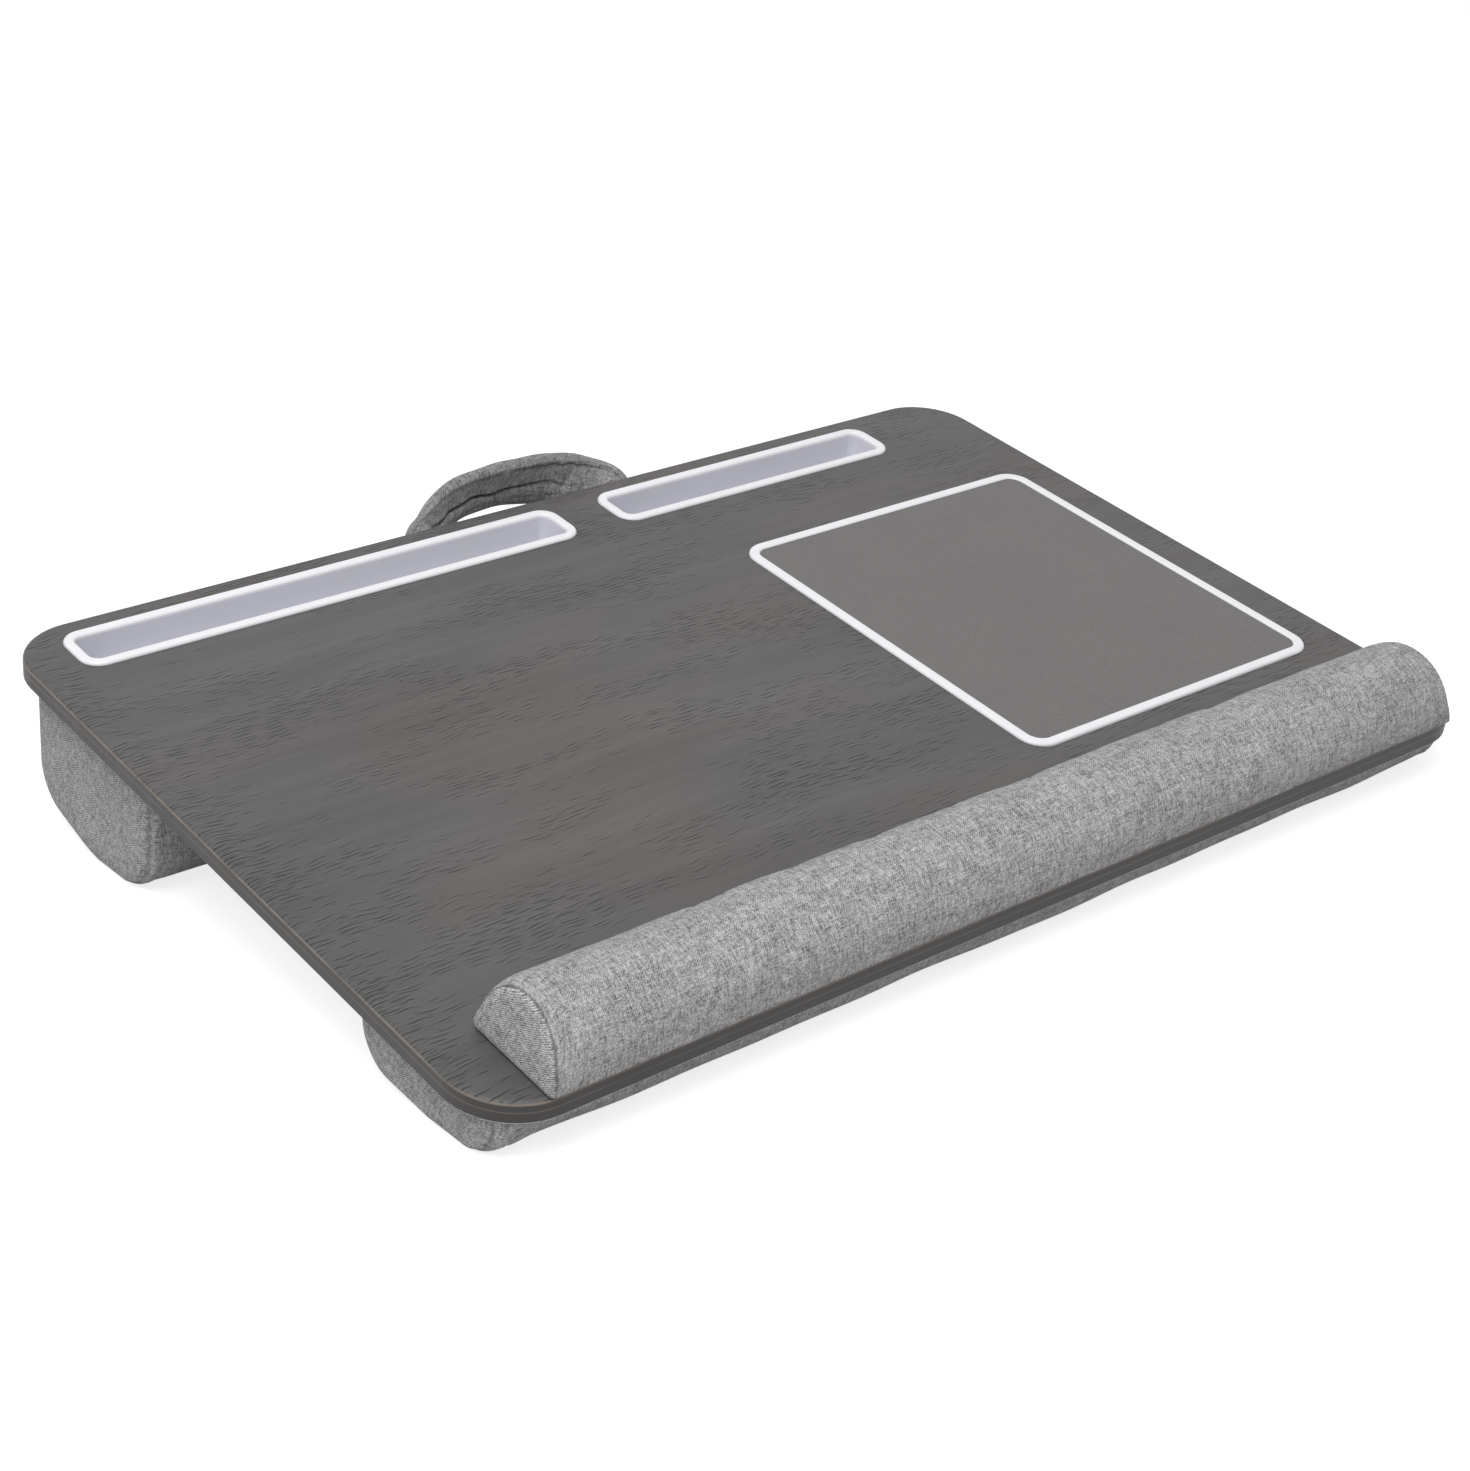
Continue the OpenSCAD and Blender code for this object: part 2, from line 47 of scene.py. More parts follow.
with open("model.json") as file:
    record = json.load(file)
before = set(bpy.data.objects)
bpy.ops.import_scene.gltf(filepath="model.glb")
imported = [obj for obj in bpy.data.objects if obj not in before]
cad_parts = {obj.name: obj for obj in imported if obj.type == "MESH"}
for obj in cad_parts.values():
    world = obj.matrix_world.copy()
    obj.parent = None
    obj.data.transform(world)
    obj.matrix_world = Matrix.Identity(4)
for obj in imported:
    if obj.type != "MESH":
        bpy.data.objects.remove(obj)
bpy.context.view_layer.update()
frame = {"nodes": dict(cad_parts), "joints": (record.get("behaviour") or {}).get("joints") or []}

# Sizes repeated from the part's source, in millimetres and in the board's own frame:
# X to the right, Y from the front edge to the rear, Z square to the board, 0 at its top
TILT = math.radians(9)
BOARD_W = 550
BOARD_D = 376
SKIN_BOTTOM = -9.8
TAB_T = 1.8
FOLD_Y = 380.35
FOLD_Z = SKIN_BOTTOM + TAB_T / 2
HINGE = Vector(frame["joints"][0]["pos_m"]) * 1000
DESK_Y = HINGE.y - FOLD_Y * math.cos(TILT) + FOLD_Z * math.sin(TILT)
FRONT_H = HINGE.z - FOLD_Y * math.sin(TILT) - FOLD_Z * math.cos(TILT)

BOLSTER_W = 534
END_CROWN = 1.8
END_IN = 6
END_LEN = 12
CROWN = 2
# Front, depth, length that stands on the floor, rise of the underside at the rear
FRONT_BOLSTER = (6.5, 95.5, 38, 6)
REAR_BOLSTER = (255, 108.5, 52, 16)
# Corner radii of the sections: both at the top, then front, middle and rear of the underside
FRONT_RADII = (4, 4, 17.5, 60, 18)
REAR_RADII = (4, 4, 28, 70, 20)
# Each cushion's name, section and radii, how deep its cover is turned in, and its seed
BOLSTERS = (("front", FRONT_BOLSTER, FRONT_RADII, 3, 1.0),
            ("rear", REAR_BOLSTER, REAR_RADII, 14, 4.0))
BOLSTER_RINGS = 126
BOLSTER_POINTS = 92
SIDES = ((-1, "left"), (1, "right"))
# Share of each soft piece's thickness that its padding fills
BOLSTER_FILL = 0.8
WRIST_FILL = 0.85

WRIST_W = 506
WRIST_D = 52
WRIST_H = 32
WRIST_OVER = 2.5
WRIST_X = 1.5
WRIST_LEAN = 5
WRIST_SINK = 1.3
WRIST_RINGS = 150
WRIST_POINTS = 64
TAPE_T = 0.5
TUCK_R = 2.5

STRAP_W = 25
STRAP_T = 8
STRAP_X = 3
STRAP_SPAN = 112
STRAP_REACH = 17
STRAP_RISE = 11
STRAP_TWIST = 105
STRAP_BEND = 1.95
TWIST_POWER = 0.7
RISE_POWER = 1.2

# Simulated covers: frames stepped, share of spare cloth, furthest move and least height over
# the floor in millimetres, and steps in which points are held from not at all to firmly
CLOTH_FRAMES = 12
CLOTH_SLACK = 0.004
CLOTH_REACH = 1.5
CLOTH_CLEAR = 0.05
HOLD_STEPS = 10

# Stage, in metres
FLOOR_HALF = 30
FLOOR_DROP = 0.0003
FLOOR_SEEN = (0.42, 0.42, 0.42, 1)
FLOOR_GLOW = 0.79
WHITE = (1, 1, 1, 1)
LAMP_SIDE = 1.3
LAMP_AWAY = 2.5
LAMP_TOWARD = (-0.38, -0.30, 0.80)

# The camera in the board's frame, found by fitting the board's outline in the photograph
CAMERA_EYE = (-693.43, -554.12, 593.01)
CAMERA_RIGHT = (0.7739, -0.62497, 0.10242)
CAMERA_AHEAD = (0.57584, 0.62709, -0.52456)
FOCAL_PIXELS = 2629.16
PICTURE_SIDE = 1471
SENSOR = 36


def turned(vectors, angle=TILT):
    """Vectors turned about X, by the tilt from the board's frame into the world's."""
    v = np.asarray(vectors, float)
    c, s = math.cos(angle), math.sin(angle)
    return np.stack([v[..., 0], v[..., 1] * c - v[..., 2] * s, v[..., 1] * s + v[..., 2] * c], -1)


def on_desk(points):
    """Points in the board's frame in millimetres, as places in the world in metres."""
    return (turned(points) + (0, DESK_Y, FRONT_H)) / 1000


def off_desk(places):
    """Places in the world in metres, as points in the board's frame in millimetres."""
    return turned(np.asarray(places, float) * 1000 - (0, DESK_Y, FRONT_H), -TILT)


def floor_z(y):
    """Height of the floor in the board's frame at a distance y from the front edge."""
    return -(FRONT_H + y * math.sin(TILT)) / math.cos(TILT)


# Shader maths


class Wire:
    """An output socket, on which arithmetic adds the nodes that work the value out."""

    def __init__(self, finish, socket):
        self.finish = finish
        self.socket = socket

    def math(self, operation, *others, swap=False):
        """The node for an operation on this value and others, in reverse order for swap."""
        values = [self, *others]
        if swap:
            values.reverse()
        return self.finish.add("ShaderNodeMath", {"operation": operation}, dict(enumerate(values)))

    def __add__(self, other):
        return self.math("ADD", other)

    __radd__ = __add__

    def __mul__(self, other):
        return self.math("MULTIPLY", other)

    __rmul__ = __mul__

    def __sub__(self, other):
        return self.math("SUBTRACT", other)

    def __rsub__(self, other):
        return self.math("SUBTRACT", other, swap=True)

    def __truediv__(self, other):
        return self.math("DIVIDE", other)

    def __pow__(self, other):
        return self.math("POWER", other)

    def __mod__(self, other):
        return self.math("FLOORED_MODULO", other)

    def __lt__(self, other):
        return self.math("LESS_THAN", other)

    def __abs__(self):
        return self.math("ABSOLUTE")

    def whole(self):
        return self.math("FLOOR")

    def part(self):
        return self.math("FRACT")

    def larger(self, other):
        return self.math("MAXIMUM", other)

    def smooth(self, low, high):
        """0 at low, 1 at high, with a soft start and end."""
        return self.finish.add("ShaderNodeMapRange", {"interpolation_type": "SMOOTHSTEP"},
                               {"Value": self, "From Min": low, "From Max": high})

    def line(self, middle, width):
        """1 on a line at a value, falling to 0 at half its width."""
        return 1 - abs(self - middle).smooth(width * 0.15, width / 2)

    def xyz(self):
        """The three parts of a vector."""
        parts = self.finish.add("ShaderNodeSeparateXYZ", {}, {0: self})
        return [Wire(self.finish, socket) for socket in parts.socket.node.outputs]


class Finish:
    """A material being made: the shader, and the nodes that feed it."""

    def __init__(self, name, **constants):
        self.material = bpy.data.materials.new(name)
        self.material.use_nodes = True
        self.tree = self.material.node_tree
        self.shader = self.tree.nodes["Principled BSDF"]
        for socket, value in constants.items():
            self.shader.inputs[socket.replace("_", " ")].default_value = value

    def add(self, kind, settings=None, inputs=None, out=0):
        """Adds a node, with its settings first and then the values or links of its sockets."""
        node = self.tree.nodes.new(kind)
        for key, value in (settings or {}).items():
            setattr(node, key, value)
        for key, value in (inputs or {}).items():
            if isinstance(value, Wire):
                self.tree.links.new(value.socket, node.inputs[key])
            else:
                node.inputs[key].default_value = value
        return Wire(self, node.outputs[out])

    def blend(self, amount, first, second):
        """The first colour where amount is 0, the second where it is 1."""
        return self.add("ShaderNodeMix", {"data_type": "RGBA"},
                        {0: amount, 6: as_colour(first), 7: as_colour(second)}, 2)

    def shades(self, amount, colour, low, high):
        """A colour made darker or lighter, from one factor where amount is 0 to another at 1."""
        return self.blend(amount, shade(colour, low), shade(colour, high))

    def place(self):
        """Where a point of the surface is in the board's frame, in millimetres."""
        x, y, z = self.add("ShaderNodeTexCoord", out="Object").xyz()
        y = y * 1000 - DESK_Y
        z = z * 1000 - FRONT_H
        c, s = math.cos(TILT), math.sin(TILT)
        return x * 1000, y * c + z * s, z * c - y * s

    def vector(self, *parts):
        return self.add("ShaderNodeCombineXYZ", {}, dict(enumerate(parts)))

    def noise(self, place, size, seed, detail=2.0):
        """Noise about 0.5, with its grain's size in millimetres along each direction."""
        vector = self.vector(*(p * (1 / s) + seed for p, s in zip(place, size)))
        return self.add("ShaderNodeTexNoise", {"noise_dimensions": "3D"},
                        {"Vector": vector, "Scale": 1.0, "Detail": detail, "Roughness": 0.55})

    def dice(self, *values):
        """An even random value from 0 to 1 for each cell of up to three whole numbers."""
        return self.add("ShaderNodeTexWhiteNoise", {"noise_dimensions": "3D"},
                        {"Vector": self.vector(*values)})

    def wear(self, colour, roughness, height):
        """Feeds the shader: a colour, a roughness or None, and a relief in millimetres."""
        bump = self.add("ShaderNodeBump", {}, {"Height": height, "Distance": 0.001})
        for name, wire in (("Base Color", colour), ("Roughness", roughness), ("Normal", bump)):
            if wire is not None:
                self.tree.links.new(wire.socket, self.shader.inputs[name])
        return self.material


def as_colour(value):
    """A colour's three parts with full cover added, or a link as it is."""
    return value if isinstance(value, Wire) else (*value, 1.0)


def shade(colour, by):
    """A colour made lighter or darker by a factor."""
    return tuple(part * by for part in colour)


def dress(material, *names):
    """Gives CAD pieces a finish."""
    for name in names:
        slots = frame["nodes"][name].data.materials
        slots.clear()
        slots.append(material)


# Finishes

# The cooler of the film's two greys, and the brown of the lines along its edge, the top one partly
# a painted highlight on the edge's rounding
COOL_FILM = (0.092, 0.093, 0.093)
EDGE_LINE_BROWN = (0.27, 0.225, 0.19)
# Painted shade: what the trays' white is multiplied by in their depth, in its lightest patches
TRAY_SHADE = (0.8, 0.8, 0.87)


def tick_rows(finish, x, y, pitch, length, share, seed):
    """Short ticks in loose rows along x: masks of the groove of each and of the lip beside it, for
    the film's painted shade and highlight.
    """
    rows = y / pitch
    row = rows.whole()
    at = x / length + finish.dice(row, seed, 0) * 9
    cell = at.whole()
    there = finish.dice(row, cell, seed) < share
    across = rows.part() - (finish.dice(row, cell, seed + 0.5) * 0.36 + 0.26)
    part = at.part()
    there = there * part.smooth(0, 0.35) * (1 - part.smooth(0.5, 1))
    return across.line(0, 0.42) * there, across.line(0.22, 0.42) * there


def film_finish(colour, contrast):
    """Dark wood-grain film: soft clouds, and clusters of fine embossed ticks along the grain, with
    painted shade in their grooves and a painted highlight on their lips.
    """
    finish = Finish("woodgrain_film", Specular_IOR_Level=0.4)
    place = finish.place()
    x, y, z = place
    down = 0 - z
    top = 1 - down.smooth(0.4, 1.4)
    drift = finish.noise(place, (130, 80, 200), 3.1)
    wave = finish.noise(place, (13, 40, 60), 4.4, 1.0)
    across = y + (drift - 0.5) * 16
    grain = (x, across, z)
    cloud = finish.noise(grain, (120, 40, 60), 7.7)
    band = finish.noise(grain, (300, 7, 60), 1.9)
    field = finish.noise(grain, (75, 26, 60), 5.2)
    fine = (finish.noise(grain, (9, 0.6, 60), 17.0, 1.0) - 0.5) * top
    left = 1 - (x + BOARD_W / 2).smooth(2, 34)
    ticked = across + (wave - 0.5) * 3.4
    share = (field.smooth(0.38, 0.62) * 0.9 + left * 0.55) * top
    groove, lip = tick_rows(finish, x, ticked, 2.4, 15, share, 3)
    small, small_lip = tick_rows(finish, x, ticked * 1.03, 1.5, 7.5, share * 0.7, 8)
    groove = groove + small * 0.6
    lip = lip + small_lip * 0.6
    strength = field.smooth(0.4, 0.75) * 0.7 + left * 0.8 + 0.5
    tone = (cloud - 0.5) * 0.5 + (band - 0.5) * 0.42 + fine * 0.2
    # Painted shade in the ticks' grooves and a painted highlight on their lips
    tone = tone + (lip * 0.24 - groove * 0.5) * strength
    level, brown = film_edge(finish, place, down, tone * contrast)
    tint = finish.shades(level, colour, 0.45, 1.55)
    cool = finish.shades(level, COOL_FILM, 0.45, 1.55)
    tint_cloud = finish.noise(grain, (190, 90, 60), 31.0)
    tint = finish.blend(tint_cloud.smooth(0.35, 0.62) * top * 0.8, tint, cool)
    # Brown lines along the edge, the top one partly a painted highlight on its rounding
    tint = finish.blend(brown, tint, EDGE_LINE_BROWN)
    relief = (lip * 0.08 - groove * 0.24) * strength + fine * 0.05 + (band - 0.5) * 0.06
    return finish.wear(tint, 0.5 + fine * 0.2 + groove * 0.12, relief)


def film_edge(finish, place, down, tone):
    """The film's level of lightness, with painted shade down the board's edge and along a groove
    line 7.2 mm down, and its patchy brown lines.
    """
    edge = down.smooth(1.2, 2.2)
    line_patches = finish.noise(place, (30, 30, 4), 2.3).smooth(0.3, 0.6)
    # Brown lines in patches; the top one, on the edge's rounding, is partly a painted highlight
    brown = down.line(1.1, 1.1) * 0.8 + down.line(4.6, 0.8) * 0.4
    side = (finish.noise(place, (40, 40, 0.9), 12.0) - 0.5) * edge
    # Painted shade: darker down the board's edge, and darker still along a groove line 7.2 mm down
    level = tone + 0.5 - edge * 0.5 - down.line(7.2, 1.2) * 0.12 + side * 0.3
    return level, brown * (line_patches * 0.6 + 0.4)


def flecked_finish(name, roughness, size, seed, detail, colours, height):
    """A plain finish: flecks of one size between two colours, with a relief in millimetres."""
    finish = Finish(name, Roughness=roughness)
    fleck = finish.noise(finish.place(), size, seed, detail)
    return finish.wear(finish.blend(fleck, *colours), None, fleck * height)


def fibreboard_finish():
    """Pressed fibres, seen where the board is cut."""
    return flecked_finish("fibreboard", 0.85, (2.2, 0.6, 0.5), 1.0, 3.0,
                          ((0.44, 0.34, 0.23), (0.70, 0.58, 0.43)), 0.15)


def strip_finish():
    """Grey board pressed from waste fibres."""
    return flecked_finish("stiff_strip", 0.9, (1.5, 0.7, 0.7), 3.0, 3.0,
                          ((0.36, 0.30, 0.23), (0.62, 0.55, 0.44)), 0.1)


def tape_finish():
    """Pale mounting tape with a fine foam grain."""
    return flecked_finish("tape", 0.6, (0.8, 0.8, 0.8), 5.0, 2.0,
                          ((0.66, 0.66, 0.63), (0.88, 0.88, 0.85)), 0.05)


def plastic_finish(colour):
    """Satin moulded plastic with a faint moulding texture, and painted shade, greyer and cooler, in
    a tray's depth.
    """
    finish = Finish("white_plastic", Specular_IOR_Level=0.45)
    place = finish.place()
    haze = finish.noise(place, (22, 22, 22), 4.0)
    grit = finish.noise(place, (0.5, 0.5, 0.5), 9.0, 1.0)
    # Painted shade: greyer and cooler down in a tray's depth
    deep = (0 - place[2]).smooth(-0.4, 1.5)
    cooler = tuple(part * by for part, by in zip(colour, TRAY_SHADE))
    tint = finish.shades(haze, colour, 0.96, 1.03)
    painted_tray_shade = finish.blend(haze, shade(colour, 0.75), cooler)
    return finish.wear(finish.blend(deep, tint, painted_tray_shade), 0.32 + (haze - 0.5) * 0.15, grit * 0.012)


def pad_finish(colour):
    """Fine leather-like tracking surface with small rounded grains, and painted shade between them
    and in its creases.
    """
    finish = Finish("tracking_surface", Specular_IOR_Level=0.35, Sheen_Weight=0.05)
    place = finish.place()
    x, y, z = place
    grain = finish.add("ShaderNodeTexVoronoi", {"feature": "SMOOTH_F1"},
                       {"Vector": finish.vector(x * 1.1, y * 1.1, z), "Scale": 1.0})
    crease = finish.noise(place, (3.5, 2.6, 9), 2.0, 3.0)
    mottle = finish.noise(place, (45, 45, 45), 8.0, 3.0)
    # Painted shade: darker between the grains and in the low parts of the creases
    level = (mottle - 0.5) * 0.5 + (crease - 0.5) * 0.5 - grain * 0.3 + 0.62
    relief = (crease - 0.5) * 0.08 - grain * 0.09
    return finish.wear(finish.shades(level, colour, 0.72, 1.3), 0.52 + (mottle - 0.5) * 0.16,
                       relief)


def weave(finish, along, around, pitch, hatch):
    """Lightness, relief and flecks of a two-by-two twill of threads seen for short runs, with
    painted shade between the round threads.
    """
    wobble = finish.noise((along, around, along * 0), (11, 11, 9), 3.0) - 0.5
    warp_at = (along + wobble * 1.1) / pitch
    weft_at = (around + wobble * 1.1) / pitch
    warp = warp_at.whole()
    weft = weft_at.whole()
    over = ((warp + weft) % 4) < 2
    warp_run = finish.dice(warp, (around / 5 + warp * 0.37).whole(), 1)
    weft_run = finish.dice((along / 5 + weft * 0.61).whole(), weft, 2)
    rib = finish.dice((along / 0.9).whole(), (around / 2.6 + warp * 0.13).whole(), 3)
    cross = finish.dice((along / 3.4 + weft * 0.21).whole(), (around / 0.9).whole(), 5)
    fleck = finish.dice((warp_at / 2).whole(), (weft_at / 2).whole(), 4)
    tone = weft_run + (warp_run - weft_run) * over
    round_warp = 1 - (warp_at.part() * 2 - 1) ** 2
    round_weft = 1 - (weft_at.part() * 2 - 1) ** 2
    round_thread = round_weft + (round_warp - round_weft) * over
    patch = finish.noise((along, around, along * 0), (38, 12, 9), 6.0, 3.0)
    # round_thread paints each thread lighter along its crown and puts painted shade between threads
    level = tone * 0.4 + fleck * 0.4 + round_thread * 0.16 + (over - 0.5) * (hatch * 0.3)
    level = level + (rib - 0.5) * 0.26 + (cross - 0.5) * 0.16 + (patch - 0.5) * 0.28 - 0.04
    relief = round_thread * 0.08 + rib * 0.06 + (patch - 0.5) * 0.25
    return level, relief, fleck


def cloth_finish(name, light, dark, pitch, drawn=True, hatch=0.5):
    """Melange twill of light and dark threads, with painted shade at its seams and painted light on
    the strap.

    A drawn cloth reads the thread places stored on its mesh, and a flat one the board's frame.
    """
    finish = Finish(name, Roughness=0.9, Specular_IOR_Level=0.15, Sheen_Weight=0.08)
    if drawn:
        along, around, painted_light = finish.add(
            "ShaderNodeAttribute", {"attribute_name": "thread"}, out="Vector").xyz()
    else:
        along, around = finish.place()[:2]
    level, relief, fleck = weave(finish, along, around, pitch, hatch)
    tint = finish.blend(level, dark, light)
    if drawn:
        # Painted light read from the mesh: a painted highlight where it is above 0, painted shade
        # where it is below
        tint = finish.blend(painted_light.larger(0), tint, shade(light, 1.12))
        tint = finish.blend((0 - painted_light).larger(0), tint, shade(dark, 0.22))
    return finish.wear(tint, 0.86 + fleck * 0.1, relief)


def foam_finish():
    """Open-celled foam, with painted shade in its cells."""
    finish = Finish("padding", Roughness=0.95)
    cells = finish.add("ShaderNodeTexVoronoi", {},
                       {"Vector": finish.vector(*finish.place()), "Scale": 0.9})
    # Painted shade: darker in the cells' hollows
    return finish.wear(finish.blend(cells, (0.62, 0.58, 0.45), (0.84, 0.80, 0.68)), None,
                       cells * 0.4)


def steel_finish():
    """Bright drawn wire with faint lines along its length."""
    finish = Finish("staple_wire", Metallic=1.0)
    scratch = finish.noise(finish.place(), (4, 0.12, 0.12), 2.0)
    return finish.wear(finish.blend(scratch, (0.48, 0.48, 0.50), (0.72, 0.72, 0.74)),
                       0.25 + scratch * 0.2, scratch * 0.02)


# Mesh tools


def add_object(name, data):
    """A new object in the scene."""
    item = bpy.data.objects.new(name, data)
    bpy.context.scene.collection.objects.link(item)
    return item


def make_piece(name, points, faces, threads, material):
    """A smooth mesh from points in the board's frame, with a thread place at each face corner."""
    mesh = bpy.data.meshes.new(name)
    mesh.from_pydata(on_desk(points).tolist(), [], faces)
    mesh.polygons.foreach_set("use_smooth", [True] * len(mesh.polygons))
    store = mesh.attributes.new("thread", "FLOAT_VECTOR", "CORNER")
    store.data.foreach_set("vector", np.asarray(threads, np.float32).ravel())
    mesh.materials.append(material)
    mesh.update()
    return add_object(name, mesh)


class Sewing:
    """Collects the grids of points that make up one sewn piece."""

    def __init__(self):
        self.points = []
        self.faces = []
        self.threads = []

    def grid(self, points, threads, flip=False):
        """Adds rings that are closed along the second direction.

        threads has one more column than points, so that the pattern runs on past the join.
        """
        rows, columns = points.shape[:2]
        base = len(self.points)
        self.points.extend(points.reshape(-1, 3))
        for i in range(rows - 1):
            for j in range(columns):
                k = (j + 1) % columns
                face = [(i, j, j), (i + 1, j, j), (i + 1, k, j + 1), (i, k, j + 1)]
                if flip:
                    face.reverse()
                self.faces.append([base + row * columns + column for row, column, thread in face])
                self.threads.extend(threads[row, thread] for row, column, thread in face)

    def lid(self, points, thread, flip=False):
        """Closes a ring by a single face."""
        base = len(self.points)
        self.points.extend(points)
        face = list(range(len(points)))
        if flip:
            face.reverse()
        self.faces.append([base + i for i in face])
        self.threads.extend([thread[i] for i in face])

    def finish(self, name, material):
        return make_piece(name, np.array(self.points), self.faces, self.threads, material)


def rounded(corners, radii, steps=10):
    """Closed outline of a polygon, each corner turned into an arc of its own radius."""
    points = []
    for i, corner in enumerate(corners):
        b = np.array(corner, float)
        u = np.array(corners[i - 1], float) - b
        v = np.array(corners[(i + 1) % len(corners)], float) - b
        u /= np.linalg.norm(u)
        v /= np.linalg.norm(v)
        half = math.acos(np.clip(u @ v, -1, 1)) / 2
        middle = b + (u + v) / np.linalg.norm(u + v) * radii[i] / math.sin(half)
        start = b + u * radii[i] / math.tan(half) - middle
        end = b + v * radii[i] / math.tan(half) - middle
        angle = math.atan2(start[1], start[0])
        turn = math.copysign(math.pi - 2 * half, start[0] * end[1] - start[1] * end[0])
        for k in range(steps + 1):
            a = angle + turn * k / steps
            points.append(middle + radii[i] * np.array([math.cos(a), math.sin(a)]))
    return np.array(points)


def travelled(points):
    """The way from the first of a row of points to each of them."""
    return np.concatenate([[0], np.cumsum(np.linalg.norm(np.diff(points, axis=0), axis=1))])


def spaced(points, count, closed=False):
    """The same line with a number of evenly spaced points, and each point's way along it."""
    line = np.vstack([points, points[:1]]) if closed else np.asarray(points)
    way = travelled(line)
    at = np.linspace(0, way[-1], count + 1 if closed else count)
    even = np.stack([np.interp(at, way, line[:, k]) for k in range(line.shape[1])], -1)
    return (even[:-1], at) if closed else (even, at)


def outward(line):
    """Unit vectors square to a line in a plane, on its right-hand side."""
    run = np.gradient(line, axis=0)
    run /= np.linalg.norm(run, axis=1, keepdims=True) + 1e-9
    return np.stack([run[:, 1], -run[:, 0]], -1)


def ripple(a, b, seed=0.0):
    """Slow unevenness of a hand-filled cushion, between about -1 and 1."""
    return (np.sin(a / 31 + seed) * np.sin(b / 23 + 1.3 * seed)
            + 0.6 * np.sin(a / 17 - b / 29 + 2.1 * seed)
            + 0.4 * np.sin(a / 9.3 + b / 13 + 3.7 * seed)) / 2


def hump(value, middle, width):
    """A smooth hump of height 1."""
    return np.exp(-((value - middle) / width) ** 2)


def pin(piece, held):
    """A group that holds each point of a piece as firmly as held says, from 0 to 1."""
    group = piece.vertex_groups.new(name="sewn")
    for level in range(HOLD_STEPS + 1):
        chosen = np.flatnonzero(np.round(held * HOLD_STEPS) == level)
        group.add(chosen.tolist(), level / HOLD_STEPS, "REPLACE")
    return group


def add_cloth(piece, group, pressure):
    """Makes a piece cloth that a pressure fills and that a group holds."""
    cloth = piece.modifiers.new("filling", "CLOTH")
    cloth.collision_settings.use_collision = False
    cloth.point_cache.frame_end = CLOTH_FRAMES
    settings = cloth.settings
    settings.quality = 5
    settings.bending_stiffness = 0.5
    settings.use_pressure = True
    settings.uniform_pressure_force = pressure
    settings.vertex_group_mass = group.name
    settings.shrink_min = -CLOTH_SLACK
    settings.effector_weights.gravity = 0
    return cloth


def vertex_places(item, count):
    """Places of an object's vertices in metres."""
    places = np.empty(count * 3)
    item.data.vertices.foreach_get("co", places)
    return places.reshape(-1, 3)


def fill_out(piece, held_at, pressure):
    """Simulates a cover as cloth with its filling pressing on it, and keeps the result.

    held_at says how firmly points are sewn down or rest on something, from 0 to 1. No point
    moves further than CLOTH_REACH, and none goes through the floor.
    """
    points = piece.data.vertices
    before = vertex_places(piece, len(points))
    held = held_at(off_desk(before))
    group = pin(piece, held)
    cloth = add_cloth(piece, group, pressure)
    scene = bpy.context.scene
    for number in range(1, CLOTH_FRAMES + 1):
        scene.frame_set(number)
    shown = piece.evaluated_get(bpy.context.evaluated_depsgraph_get())
    move = (vertex_places(shown, len(points)) - before) * 1000
    size = np.linalg.norm(move, axis=1, keepdims=True) + 1e-9
    move = move / size * np.tanh(size / CLOTH_REACH) * CLOTH_REACH * (1 - held[:, None])
    placed = before + move / 1000
    placed[:, 2] = np.maximum(placed[:, 2], CLOTH_CLEAR / 1000)
    piece.modifiers.remove(cloth)
    piece.vertex_groups.remove(group)
    points.foreach_set("co", placed.ravel())
    piece.data.update()
    scene.frame_set(1)


def fading(distance, solid, soft):
    """1 up to a distance, falling to 0 over a further one."""
    return np.clip(1 - (distance - solid) / soft, 0, 1)


# Cushions under the board

BOLSTER_HALF = BOLSTER_W / 2 - END_CROWN
BOLSTER_TOP = SKIN_BOTTOM - 0.15
# A gap between neighbouring points that only the cut at the board's skin leaves
OUTLINE_BREAK = 20
# Thread places over a cover's hem, which is hidden against the board
HEM_WAYS = np.array([1, 14, 100, 114, 115])
# Steps back from an end at which a sleeve has closely spaced rings
END_STEPS = np.array([0, 0.12, 0.3, 0.6, 1.0, 1.6, 2.4, 3.4, 4.6, 6, 7.5, 9, 11])
# Sizes of an end panel's rings as shares of its outline
PANEL_RINGS = (1, 0.992, 0.98, 0.96, 0.93, 0.88, 0.8, 0.7, 0.58, 0.44, 0.28, 0.12, 0.02)
# How far a panel's hem reaches inside the sleeve, and the slant of its threads
PANEL_HEM = 1.2
PANEL_BIAS = 0.35


def stations(half, count):
    """Places of a sleeve's rings from its left end to its right end, close together at both."""
    inner = half - END_STEPS[-1]
    return np.concatenate([END_STEPS - half, np.linspace(-inner, inner, count)[1:-1],
                           half - END_STEPS[::-1]])


def end_rounding(x, half):
    """0 along a sleeve, rising to 1 at its end in a quarter round."""
    near = max(0.0, 1 - (half - abs(x)) / END_LEN)
    return 1 - math.sqrt(max(0.0, 1 - near * near))


def below_board(outline):
    """The part of a closed outline that is below the board, from its front to its rear."""
    line = outline[outline[:, 1] <= BOLSTER_TOP]
    gaps = np.linalg.norm(np.diff(line, axis=0), axis=1)
    if gaps.max() > OUTLINE_BREAK:
        line = np.roll(line, -(int(gaps.argmax()) + 1), axis=0)
    return line


